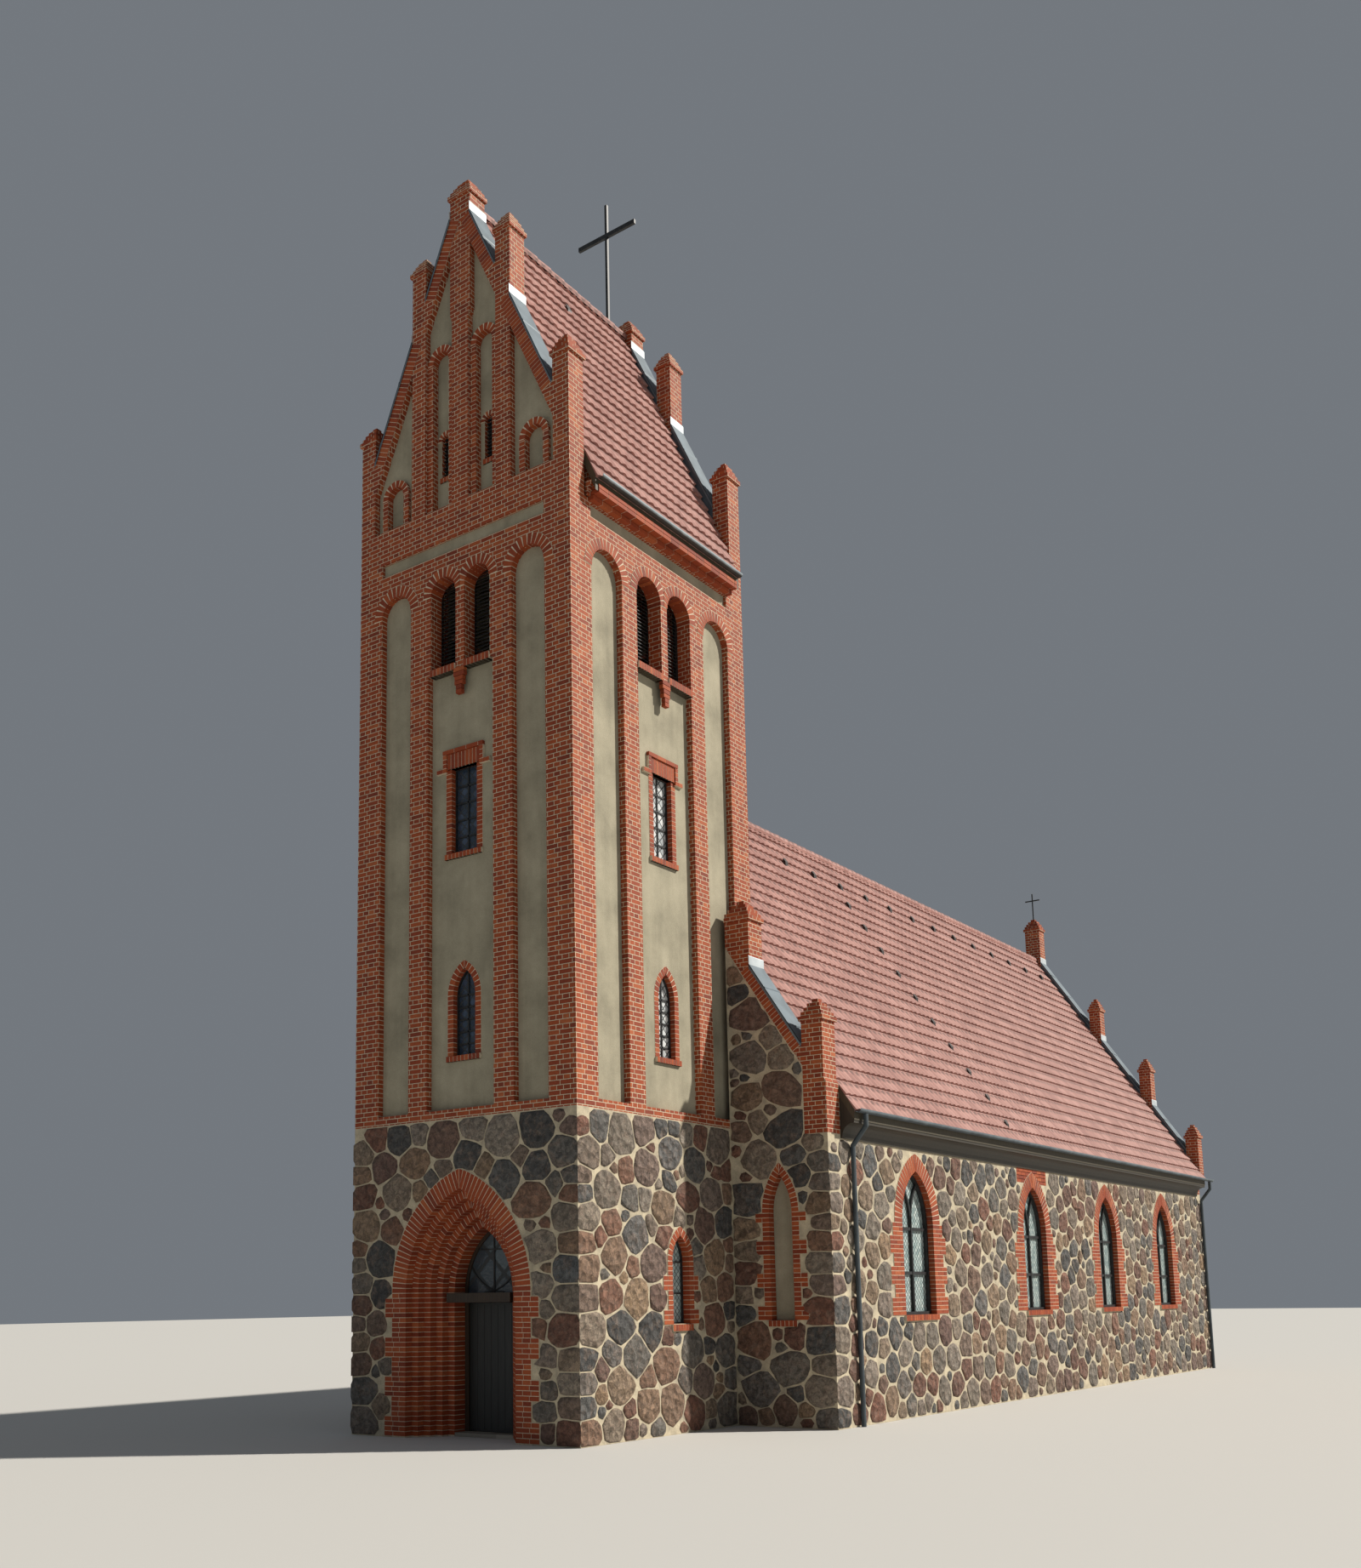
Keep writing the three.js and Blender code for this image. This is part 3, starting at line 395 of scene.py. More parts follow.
dress(tower_wall(), "tower_west_wall", "tower_east_wall", "tower_south_wall", "tower_north_wall")
dress(stone_wall("lime mortar and brick, tower", TOWER_HALF, FRONT, TOWER_BACK), "tower_base_")
dress(stone_wall("lime mortar and brick, nave", NAVE_HALF, NAVE_FRONT, NAVE_BACK, (0.1, 0.15), 11.78),
      "nave_west_wall", "nave_south_wall", "nave_north_wall", "nave_east_wall")
print("walls dressed")

# %% [markdown]
# ## Shapes worked out with numpy
#
# Most of what is added is made of many small blocks: bricks that ring an arch, bars, slats,
# tiles. One block has eight corners. If the corners of all blocks are held in one array, a
# whole arch is made at once. The corners are first worked out flat, as along, up and out of a
# wall, and then carried onto one of the four sides of the building.

# %% Blocks, and the four sides they go on
CORNERS = np.array([[0, 0, 0], [1, 0, 0], [1, 1, 0], [0, 1, 0], [0, 0, 1], [1, 0, 1], [1, 1, 1], [0, 1, 1]])
BLOCK_FACES = np.array([[0, 3, 2, 1], [4, 5, 6, 7], [0, 1, 5, 4], [1, 2, 6, 5], [2, 3, 7, 6], [3, 0, 4, 7]])
FLIP = [1, 0, 3, 2, 5, 4, 7, 6]


def boxes(low, high):
    """Corners of boxes from their low to their high ends (along, up, out). Each end is an array or
    one number for all boxes, and each corner takes the low or the high end by turns."""
    ends = np.broadcast_arrays(*(np.atleast_1d(end).astype(float) for end in (*low, *high)))
    low, high = np.stack(ends[:3], -1), np.stack(ends[3:], -1)
    return low[:, None] * (1 - CORNERS) + high[:, None] * CORNERS


def both_hands(cells):
    """Blocks and their mirror image in the middle line, renumbered so that they still face out."""
    return np.concatenate([cells, (cells * [-1, 1, 1])[:, FLIP]])


def on_side(corners, side, face):
    """Turns (along, up, out) to x, y, z for a side whose outer face lies at the given x or y."""
    along, up, out = corners[..., 0], corners[..., 1], corners[..., 2]
    places = {"west": (along, face - out, up), "east": (-along, face + out, up),
              "south": (face + out, along, up), "north": (-face - out, -along, up)}
    return np.stack(places[side], axis=-1)


def mesh_piece(name, points, faces, material, body="church", smooth=False, shade=None):
    """Puts points and lists of faces into a mesh object with one material, and lets it ride on a
    body. A random shade for each face may go with it, for the material to read."""
    mesh = bpy.data.meshes.new(name)
    mesh.from_pydata(points.reshape(-1, 3).tolist(), [], [face for part in faces for face in part.tolist()])
    mesh.polygons.foreach_set("use_smooth", np.full(len(mesh.polygons), smooth))
    if shade is not None:
        mesh.attributes.new("shade", "FLOAT", "FACE").data.foreach_set("value", shade.astype(np.float32))
    mesh.materials.append(material)
    mesh.update()
    piece = new_object(name, mesh)
    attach(piece, body)
    return piece


def block_piece(name, corners, material, body="church"):
    """A piece of many blocks, each with its own random shade."""
    corners = corners.reshape(-1, 8, 3)
    count = len(corners)
    faces = (BLOCK_FACES[None] + 8 * np.arange(count)[:, None, None]).reshape(-1, 4)
    shade = np.repeat(np.random.default_rng(len(name) + count).random(count), 6)
    return mesh_piece(name, corners, [faces], material, body, shade=shade)


print("block corners:", boxes((0, 0, 0), (1, 1, 1)).shape)

# %% [markdown]
# ## Brick dressings round the openings
#
# Arches are ringed with bricks on end, which fan out from the arch's centre. Below them the
# jambs are ordinary courses, and where they meet fieldstone they are toothed: a few courses
# wide, a few narrow. The bricks here are real blocks with open joints, set in a mortar bed
# that stands a little lower, so light and shadow find the joints by themselves.

# %% Rings, jambs and sills
UNIT, JOINT = 0.13, 0.011
# Each course is made twice: as bricks with open joints, and as the mortar bed behind them
LAYERS = ((JOINT, 0.006, 0.0), (0.0, 0.001, 0.004))


def arch_radius(half, spring, apex):
    """Radius of a pointed arch whose centres lie on the springing line."""
    return (half ** 2 + (apex - spring) ** 2) / (2 * half)


def ring(centre, half, spring, apex, width, out, back):
    """Bricks that fan along both arcs of an arch: corners are centre plus radius times the
    cosine and sine of an angle. A brick is a slight wedge: its angle shrinks with the 0.35th
    power of the radius, so the joints open outwards. What passes the middle line is cut off."""
    radius = arch_radius(half, spring, apex)
    offset, outer, layers = radius - half, radius + width, []
    last = math.acos(min(1.0, offset / outer))
    angles = np.linspace(0, last, max(3, round(radius * last / COURSE)) + 1)
    middle = (angles[:-1, None] + angles[1:, None]) / 2
    for joint, lip, drop in LAYERS:
        gap = joint / 2 / radius
        cells = boxes((radius - lip, angles[:-1] + gap, back),
                      (outer - joint / 2, angles[1:] - gap, out - drop))
        if joint:
            cells[..., 1] = middle + (cells[..., 1] - middle) * (radius / cells[..., 0]) ** 0.35
        along = np.maximum(cells[..., 0] * np.cos(cells[..., 1]) - offset, joint / 2)
        up = spring + cells[..., 0] * np.sin(cells[..., 1])
        layers.append(both_hands(np.stack([along, up, cells[..., 2]], -1)))
    return np.stack(layers) + [centre, 0, 0]


def round_arch(centre, half, top, width, out, back):
    """A ring over a half-round opening."""
    return ring(centre, half, top - half, top, width, out, back)


def bonded(low, high, widths):
    """Row, start and end of each brick in a patch of courses, sideways in headers. The widths
    repeat upwards. A course is cut into stretchers, and by turns a header comes first. A rest
    that would be a sliver is shared with the brick beside it."""
    table = []
    for row in range(int(round((high - low) / COURSE))):
        width = widths[row % len(widths)]
        sizes = [1.0] * (row % 2) + [2.0] * int((width - row % 2) // 2)
        rest = width - sum(sizes)
        if rest <= 0.5:
            rest += sizes.pop()
        sizes += [rest / 2, rest / 2] if rest > 2.05 else [rest]
        table += [(row, start, start + size) for start, size in zip(np.cumsum([0] + sizes), sizes)]
    return np.array(table).T


def jambs(centre, half, low, high, widths, out, back):
    """Courses on both sides of an opening, counted outwards from its edge."""
    row, start, end = bonded(low, high, widths)
    layers = []
    for joint, lip, drop in LAYERS:
        inner = half + start * UNIT + np.where(start == 0, -lip, joint / 2)
        cells = boxes((inner, low + row * COURSE + joint / 2, back),
                      (half + end * UNIT - joint / 2, low + (row + 1) * COURSE - joint / 2, out - drop))
        layers.append(both_hands(cells))
    return np.stack(layers) + [centre, 0, 0]


def band(left, right, low, high, out, back):
    """Plain courses between two edges. The mortar bed stays 8 mm inside all edges of the band."""
    row, start, end = bonded(low, high, [(right - left) / UNIT])
    layers = []
    for joint, lip, drop in LAYERS:
        along = np.clip(left + np.stack([start, end]) * UNIT, left + 2 * drop, right - 2 * drop)
        up = np.clip(low + np.stack([row, row + 1]) * COURSE, low + 2 * drop, high - 2 * drop)
        layers.append(boxes((along[0] + joint / 2, up[0] + joint / 2, back),
                            (along[1] - joint / 2, up[1] - joint / 2, out - drop)))
    return np.stack(layers)


def sill(centre, half, top, out, tread=0.1, back=-0.1):
    """Bricks on edge in a row below an opening, standing out a little."""
    edges = np.linspace(centre - half, centre + half, int(round(2 * half / COURSE)) + 1)
    return np.stack([boxes((edges[:-1] + joint / 2, top - tread, back),
                           (edges[1:] - joint / 2, top - drop, out - drop)) for joint, lip, drop in LAYERS])


print("one ring of a 1.3 m arch has", ring(0, 0.65, 3.38, 4.333, 0.26, 0.012, -0.17).shape[1], "bricks")

# %% [markdown]
# ## Materials for the single bricks and their mortar
#
# Each block already carries a random number, so the brick colour comes from a ramp read at
# that number. A little cloudiness and grit from noise keeps large bricks from looking flat.

# %% Brick and mortar materials
# The same hard-burnt brick as in the walls, matt and slightly pitted
dressing_brick, tree, here = start("hard-burnt facing brick, single")
shade = add(tree, "Attribute", attribute_name="shade").node.outputs["Fac"]
fired = shades(add(tree, "ValToRGB", shade), BRICK_PLACES, BRICK_CODES)
cloud = add(tree, "TexNoise", here, Scale=22.0, Detail=5.0, Roughness=0.7)
height = add(tree, "Math", cloud, 0.004, operation="MULTIPLY")
close(dressing_brick, toned(tree, fired, cloud, 0.8, 1.16), 0.75, height)
# Lime mortar struck off with a trowel: pale, dull and grainy
mortar = clouded("pale lime mortar", ("#bfb199", "#dcd0b8"), (30, 30, 30), 5.0, 0.95, 0.003)


def dressing(name, parts, side, face):
    """Bricks and their bed as two pieces on one side of the building."""
    layers = np.concatenate(parts, axis=1)
    block_piece(f"{name}_bricks", on_side(layers[0], side, face), dressing_brick)
    block_piece(f"{name}_bed", on_side(layers[1], side, face), mortar)
    return layers.shape[1]


print("materials:", dressing_brick.name, "/", mortar.name)

# %% [markdown]
# ## Nave windows, niches and base windows
#
# The nave has four pointed windows on each side. A ring one stretcher deep crowns each, and
# the jambs are toothed into the stone. The blind niches beside the tower and the small base
# windows have a ring only one header deep. Sills are bricks on edge that lean out a little.
# Over the second nave window, courses of brick fill the wall up to the eaves.

# %% Dressings in the fieldstone
PROUD = 0.014
WIDE_JAMB, NARROW_JAMB = [4, 4, 4, 4, 3, 3, 3], [2, 2, 2, 1, 1, 1, 1]
# Of each kind: half width, springing and apex of the arch, courses below it, width of its ring,
# jambs, back of the bricks, and half width, foot and top of the room that its sill takes
NAVE_WINDOW = ((0.65, 3.38, 4.333), 21, 0.3, WIDE_JAMB, -0.165, (0.7, 1.66, 1.763))
BASE_WINDOW = ((0.245, 2.7, 3.12), 13, 0.13, NARROW_JAMB, -0.145, (0.3, 1.6, 1.7))
WEST_NICHE = ((0.222, 3.5, 4.148), 23, 0.13, NARROW_JAMB, -0.145, (0.272, 1.629, 1.729))
EAST_NICHE = ((0.52, 3.38, 4.25), 21, 0.26, WIDE_JAMB, -0.145, (0.57, 1.66, 1.763))
NAVE_WINDOW_Y = FRONT + np.array([7.63, 13.43, 18.15, 22.64])
BASE_WINDOW_Y, WEST_NICHE_X, EAST_NICHE_X = FRONT + 2.69, 3.278, 1.5
PATCH_Y, PATCH_HALF, PATCH_LOW = NAVE_WINDOW_Y[1], 0.85, EAVES - 4 * COURSE


def pointed(centre, opening):
    """Ring, jambs and sill of one pointed opening."""
    arch, rows, width, widths, back, _ = opening
    half, spring, apex = arch
    low = spring - rows * COURSE
    return [ring(centre, *arch, width, PROUD, back), jambs(centre, half, low, spring, widths, PROUD, back),
            sill(centre, half + 0.05, low, PROUD + 0.03)]


count = 0
for side, hand in HANDS:
    parts = [part for y in NAVE_WINDOW_Y for part in pointed(hand * y, NAVE_WINDOW)]
    patch = (hand * PATCH_Y - PATCH_HALF, hand * PATCH_Y + PATCH_HALF, PATCH_LOW, EAVES)
    parts.append(band(*patch, 0.004, -0.1))
    count += dressing(f"nave_windows_{side}", parts, side, NAVE_HALF)
    count += dressing(f"base_window_{side}", pointed(hand * BASE_WINDOW_Y, BASE_WINDOW), side, TOWER_HALF)
for side, face, x, kind in (("west", NAVE_FRONT, WEST_NICHE_X, WEST_NICHE),
                            ("east", NAVE_BACK, EAST_NICHE_X, EAST_NICHE)):
    count += dressing(f"nave_niches_{side}", pointed(-x, kind) + pointed(x, kind), side, face)
print("bricks laid:", count)

# %% [markdown]
# ## Clay roof tiles
#
# The roofs carry pantiles: each tile is a shallow wave, and each row lies on the one below,
# so its lower edge stands proud and throws a thin shadow. One grid does a whole slope. Its
# height above the boards is a wave across, plus a ramp down each row that falls back to
# nought where the next row begins.

# %% Tile surface
GAUGE, TILE_W, WAVE, RAMP, LIFT = 0.335, 0.205, 0.022, 0.028, 0.006


def tile_slope(ridge, slope, eave, top, y0, y1, samples=7):
    """Points of a tiled slope: down the slope t, along the ridge y. Height is a lift of 6 mm, a
    wave of cosines across each tile, and a ramp of 28 mm from the top to the bottom of each row."""
    length = math.hypot(1, slope)
    first = eave - math.ceil((eave - top) / GAUGE) * GAUGE
    edges = np.clip(np.arange(first, eave + GAUGE / 2, GAUGE), top, eave)
    edges = np.unique(np.round(edges, 5))
    starts = eave - np.ceil((eave - edges[:-1]) / GAUGE - 1e-3) * GAUGE
    t = np.stack([edges[:-1], edges[1:]], 1).ravel()
    ramp = ((t - np.repeat(starts, 2)) / GAUGE)[:, None]
    columns = np.arange(0, int((y1 - y0) / TILE_W * samples) + 1) / samples * TILE_W + y0
    columns = np.append(columns, y1)
    phase = (columns - y0) / TILE_W % 1.0
    wave = WAVE * (0.5 - 0.5 * np.cos(2 * math.pi * phase ** 0.75))
    height = np.pad(LIFT + wave * (0.35 + 0.9 * ramp) + RAMP * ramp, 1, constant_values=-0.02)
    t, columns = np.pad(t, 1, mode="edge")[:, None], np.pad(columns, 1, mode="edge")
    x = (t + height * slope) / length
    z = ridge - (t * slope - height) / length
    return np.stack([x, np.broadcast_to(columns, x.shape), z], -1)


def joined(grids):
    """Several grids as one list of points, and quads between the neighbours in each grid."""
    points, faces, total = [], [], 0
    for grid in grids:
        rows, columns = grid.shape[:2]
        corner = (np.arange(rows - 1)[:, None] * columns + np.arange(columns - 1)).ravel() + total
        faces.append(np.stack([corner, corner + columns, corner + columns + 1, corner + 1], 1))
        points.append(grid.reshape(-1, 3))
        total += rows * columns
    return np.concatenate(points), np.concatenate(faces)


def clay_tiles(name, ridge, slope, eave):
    """Pressed clay under a thin matt engobe, dusty rose: each tile a little lighter or darker, and painted
    shadow in the waves under each lap. The place down a slope is the drop below the ridge by the sine."""
    material, tree, here = start(name)
    x, y, z = add(tree, "SeparateXYZ", here).node.outputs[:3]
    cell = add(tree, "CombineXYZ", add(tree, "Math", y, TILE_W, operation="DIVIDE"),
               add(tree, "Math", z, GAUGE * 0.84, operation="DIVIDE"))
    tile = add(tree, "TexWhiteNoise", add(tree, "VectorMath", cell, operation="FLOOR"), noise_dimensions="2D")
    cloud = add(tree, "TexNoise", here, Scale=2.0, Detail=8.0, Roughness=0.6)
    grit = add(tree, "TexNoise", here, Scale=90.0, Detail=2.0)
    both = add(tree, "Mix", 0.35, cloud, tile)
    fired = shades(add(tree, "ValToRGB", both), (0.25, 0.5, 0.75), ("#91635a", "#a3746a", "#b3857b"))
    sine = slope / math.hypot(1, slope)
    rows = add(tree, "MapRange", z, ridge - eave * sine, ridge - (eave - GAUGE) * sine, 0.0, 1.0, clamp=False)
    # Painted shadow: a dark wavy band just under each row's lap, deepest in the troughs of the tiles.
    turn = add(tree, "Math", y, 2 * math.pi / TILE_W, operation="MULTIPLY")
    across = add(tree, "Math", turn, operation="SINE")
    wavy = add(tree, "Math", across, 0.09, rows, operation="MULTIPLY_ADD")
    lap = add(tree, "MapRange", add(tree, "Math", wavy, operation="FRACT"), 0.66, 0.84, 0.0, 1.0)
    trough = add(tree, "MapRange", across, -0.8, 0.6, 0.35, 1.0)
    lap_shade_mask = add(tree, "Math", lap, trough, operation="MULTIPLY")
    painted_lap_shadow = add(tree, "Math", lap_shade_mask, 0.62, operation="MULTIPLY")
    colour = add(tree, "Mix", painted_lap_shadow, fired, linear("#3c2622"), data_type="RGBA")
    return close(material, colour, 0.7, add(tree, "Math", grit, 0.002, operation="MULTIPLY"))


PARAPET, NAVE_RIDGE, TOWER_RIDGE = 0.39, 12.105, 21.18
NAVE_ROOF = (NAVE_RIDGE, NAVE_SLOPE, 4.50 * math.hypot(1, NAVE_SLOPE))
TOWER_ROOF = (TOWER_RIDGE, TOWER_SLOPE, 2.555 * math.hypot(1, TOWER_SLOPE))
beside_tower = (TOWER_HALF + 0.004) * math.hypot(1, NAVE_SLOPE)
nave_pantile = clay_tiles("engobed clay pantile, nave", *NAVE_ROOF)
tower_pantile = clay_tiles("engobed clay pantile, tower", *TOWER_ROOF)
nave_grids = [tile_slope(*NAVE_ROOF, 0.02, TOWER_BACK + 0.004, NAVE_BACK - 0.402),
              tile_slope(*NAVE_ROOF, beside_tower, NAVE_FRONT + 0.455, TOWER_BACK + 0.004)]
tower_grids = [tile_slope(*TOWER_ROOF, 0.02, FRONT + PARAPET + 0.04, TOWER_BACK - PARAPET - 0.04)]
for name, grids, pantile in (("nave_tiles", nave_grids, nave_pantile),
                             ("tower_tiles", tower_grids, tower_pantile)):
    points, faces = joined(grids)
    mesh_piece(f"{name}_south", points, [faces], pantile)
    mesh_piece(f"{name}_north", points * [-1, 1, 1], [faces[:, ::-1]], pantile)
    print(name, "faces a side:", len(faces))

# %% [markdown]
# ## Ridge tiles
#
# Half-round clay tiles sit over the ridge, each one sliding under the next. A half circle is
# carried along the ridge, and its radius grows a little along each tile.

# %% Ridge tiles
def ridge_tiles(ridge, y0, y1, radius=0.11, length=0.4, around=9):
    """A half circle carried along Y: radius grows by 14 mm over each tile, then falls back."""
    count = int(round((y1 - y0) / length))
    edges = np.linspace(y0, y1, count + 1)
    y = np.pad(np.stack([edges[:-1], edges[1:]], 1).ravel(), 1, mode="edge")
    wide = np.pad(np.tile([radius, radius + 0.014], count), 1, constant_values=0.01)[:, None]
    angle = np.linspace(math.radians(-25), math.radians(205), around)
    x = wide * np.cos(angle)
    return np.stack([x, np.broadcast_to(y[:, None], x.shape), ridge - 0.035 + wide * np.sin(angle)], -1)


RIDGES = {"nave_ridge": (NAVE_RIDGE, TOWER_BACK + 0.01, NAVE_BACK - 0.41),
          "tower_ridge": (TOWER_RIDGE, FRONT + PARAPET + 0.005, TOWER_BACK - PARAPET - 0.005)}
for name, run in RIDGES.items():
    points, faces = joined([ridge_tiles(*run)])
    mesh_piece(name, points, [faces], nave_pantile)
print("ridge tiles laid")

# %% [markdown]
# ## Sheet metal
#
# Every raking parapet between the pinnacles is capped with folded zinc, pale blue where it mirrors the sky,
# and its inner face towards the roof is clad with zinc sheet, made darker than the coping as painted shade.
# Under the coping, on the outside, runs a row of bricks laid square to the slope like a ladder. The gutters
# are zinc too, and small dark sheet vents stand on the tiles.

# %% Sheet metals
# Rolled sheet: dull, smooth, with a soft patina that comes and goes over a hand's width
METALS = (("rolled zinc sheet", ("#56626a", "#6b7982"), 0.1),
          ("slate-blue zinc sheet, darkened as painted shade", ("#39454d", "#4b5963"), 0.0),
          # This sheet clads the parapets' inner faces: zinc whose darker colour is painted shade.
          ("dark coated sheet vent", ("#231d1b", "#352c29"), 0.0),
          ("bright zinc flashing", ("#b4bcc0", "#cdd4d7"), 0.2))
zinc, shade_darkened_zinc, vent_sheet, flashing = (
    clouded(name, codes, (3, 3, 3), 6.0, (0.5, 0.65), metallic=metallic) for name, codes, metallic in METALS)


def gutter_sheet(name, rim, bright, under):
    """Zinc gutter: pale in the top 40 mm under the rim as a painted highlight, and dark round its belly as
    painted shade."""
    material, tree, here = start(name)
    z = add(tree, "SeparateXYZ", here).node.outputs[2]
    cloud = add(tree, "TexNoise", here, Scale=4.0, Detail=6.0)
    edge = add(tree, "Math", cloud, 0.03, z, operation="MULTIPLY_ADD")
    # Painted highlight in the top 40 mm under the rim, and painted shade round the belly below it.
    lit_rim = add(tree, "MapRange", edge, rim - 0.035, rim - 0.005, 0.0, 1.0)
    pale, shaded_belly = (shades(add(tree, "ValToRGB", cloud), (0.3, 0.7), codes) for codes in (bright, under))
    colour = add(tree, "Mix", lit_rim, shaded_belly, pale, data_type="RGBA")
    return close(material, colour, add(tree, "MapRange", lit_rim, 0.0, 1.0, 0.75, 0.5), metallic=0.1)


TOWER_RIM, NAVE_RIM = 15.235, 5.183
# First codes: the rim's painted highlight. Second codes: the belly's painted shade.
dress(gutter_sheet("zinc gutter, tower", TOWER_RIM, ("#8f9aa1", "#a9b2b6"), ("#2f2c28", "#433f39")),
      "tower_gutter")
dress(gutter_sheet("zinc gutter and downpipes, nave", NAVE_RIM,
                   ("#5d6870", "#727d83"), ("#3c4449", "#4d575d")), "nave_rainwater")
print("sheet metals:", ", ".join(name for name, *_ in METALS))

# %% Copings
SHEET, LIP, SEAM = 0.028, 0.03, 0.02
# Spans beside the middle, height of the coping's line at the middle and its fall, front and
# thickness of the parapet, 1 if the roof lies behind it and -1 if before it, and length and
# relief of the bricks under the coping
TOWER_SPANS = ((0.23, 0.80), (1.12, 2.01))
EAST_SPANS = ((0.22, 1.57), (1.88, 2.89), (3.2, 4.04))
TOWER_LINE, NAVE_LINE, EAST_LINE = (21.35, GABLE_SLOPE), (12.145, NAVE_SLOPE), (12.325, NAVE_SLOPE)
PARAPETS = ((TOWER_SPANS, TOWER_LINE, FRONT, PARAPET, 1, 0.235, 0.012),
            (TOWER_SPANS, TOWER_LINE, TOWER_BACK - PARAPET, PARAPET, -1, 0.235, 0.012),
            (((2.82, SHOULDER_X),), NAVE_LINE, NAVE_FRONT, 0.45, 1, 0.2, 0.014),
            (EAST_SPANS, EAST_LINE, NAVE_BACK - 0.4, 0.4, -1, 0.2, 0.014))


def raking(x0, x1, line, low, high, y0, y1):
    """Blocks that follow a falling line: corners at the line's height plus low or high, for both hands."""
    x0, x1 = np.atleast_1d(x0).astype(float), np.atleast_1d(x1).astype(float)
    x = np.stack([x0, x1, x1, x0, x0, x1, x1, x0], 1)
    z = line[0] - line[1] * x + np.array([low, low, high, high, low, low, high, high])
    y = np.broadcast_to(np.array([y1] * 4 + [y0] * 4, float), x.shape)
    return both_hands(np.stack([x, y, z], -1))


sheets, cladding, upstands = [], [], []
for spans, line, front, thick, inner, *_ in PARAPETS:
    y0, y1 = front - LIP, front + thick + LIP
    edge = front + thick if inner > 0 else front
    for x0, x1 in spans:
        sheets.append(raking(x0, x1, line, 0.002, SHEET, y0, y1))
        sheets.append(raking(x0, x1, line, -0.06, SHEET, y0, y0 + 0.006))
        sheets.append(raking(x0, x1, line, -0.06, SHEET, y1 - 0.006, y1))
        seams = np.arange(x0 + 0.3, x1 - 0.1, 0.45)
        if len(seams):
            sheets.append(raking(seams, seams + 0.012, line, SHEET, SHEET + SEAM, y0, y1))
        faces = sorted((edge, edge + inner * 0.012))
        cladding.append(raking(x0, x1, line, -0.75, 0.0, *faces))
        upstands.append(raking(x0, x0 + 0.012, line, SHEET, 0.17, y0, y1))
block_piece("parapet_copings", np.concatenate(sheets), zinc)
block_piece("parapet_cladding", np.concatenate(cladding), shade_darkened_zinc)
block_piece("parapet_flashings", np.concatenate(upstands), flashing)
print("coping blocks:", sum(len(part) for part in sheets + cladding + upstands))

# %% Roof vents
def vents(x, y, ridge, slope):
    """Small sheet boxes that stand on a roof, 60 mm by 110 mm and 90 mm high."""
    return raking(x - 0.03, x + 0.03, (ridge, slope), 0.05, 0.14, y - 0.055, y + 0.055)


row = [vents(0.565, FRONT + y, NAVE_RIDGE, NAVE_SLOPE) for y in 9.8 + 1.268 * np.arange(13)]
column = vents(0.57 + 0.3735 * np.arange(1, 11), FRONT + 11.95, NAVE_RIDGE, NAVE_SLOPE)
single = vents(0.42, FRONT + 2.55, TOWER_RIDGE, TOWER_SLOPE)
all_vents = np.concatenate(row + [column, single])
block_piece("roof_vents", all_vents, vent_sheet)
print("roof vents:", len(all_vents))

# %% Ladders of brick under the copings
def ladder(x0, x1, line, depth, y, out, facing):
    """A row of bricks square to a falling line, as a strip along it: start plus steps down the slope
    and square to it, for both hands."""
    top, slope = line
    length = math.hypot(1, slope)
    t = np.linspace(0, (x1 - x0) * length, max(2, round((x1 - x0) * length / COURSE)) + 1)
    layers = []
    for joint, lip, drop in LAYERS:
        cells = boxes((t[:-1] + joint / 2, -depth, -0.05), (t[1:] - joint / 2, -joint / 2, out - drop))
        along = x0 + cells[..., 0] / length + cells[..., 1] * slope / length
        up = top - slope * x0 - cells[..., 0] * slope / length + cells[..., 1] / length
        hand = np.stack([along, y - facing * cells[..., 2], up], -1)
        layers.append(both_hands(hand if facing > 0 else hand[:, FLIP]))
    return np.stack(layers)


ladders = {1: [], -1: []}
for spans, line, front, thick, inner, depth, out in PARAPETS:
    face = front if inner > 0 else front + thick
    ladders[inner] += [ladder(x0, x1, line, depth, face, out, inner) for x0, x1 in spans]
laid = np.concatenate(ladders[1] + ladders[-1], axis=1)
block_piece("verge_bricks", laid[0], dressing_brick)
block_piece("verge_bed", laid[1], mortar)
print("verge bricks:", laid.shape[1])

# %% [markdown]
# ## Dressings on the tower
#
# On the tower the arches sit on plaster or in line with the brickwork. Belfry lights and blind
# bays have radial rings in the wall's own face. The lancets and the upright windows have brick
# margins half a brick wide, flush with the sunken plaster. The upright ones carry a hood: a row
# of bricks on end, a thin course over it, and sides that come down and end in small feet.
# Under the post between the belfry lights, courses step in to a stub.

# %% Tower dressings
TOWER_SIDES = {"west": (FRONT, 0.0), "east": (TOWER_BACK, 0.0),
               "south": (TOWER_HALF, TOWER_MIDDLE), "north": (TOWER_HALF, -TOWER_MIDDLE)}
GABLED = ("west", "east")
BELFRY_TOP, BELFRY_FOOT, BAY_TOP, STUB_TOP, CORNICE_FOOT = 14.22, 12.61, 14.205, 12.51, 14.882
# Half width of a light, outer edge of the pair, middle and half width of a blind bay
BELFRY = {True: (0.28, 0.655, 1.465, 0.345), False: (0.3585, 0.812, 1.655, 0.42)}
# Half-round arches in the gables: place beside the middle, half width, top, ring, out, back
GABLE_ARCHES = ((0.492, 0.182, 18.468, 0.125, -0.052, -0.18), (1.563, 0.19, 16.31, 0.12, -0.052, -0.18),
                (0.49, 0.09, 16.955, 0.09, -0.18, -0.25))
SUNK = 0.12
LANCET, LANCET_FOOT = (0.24, 7.0, 7.43), 6.0
OBLONG_HALF, OBLONG_FOOT, HOOD = 0.28, 9.37, 11.09


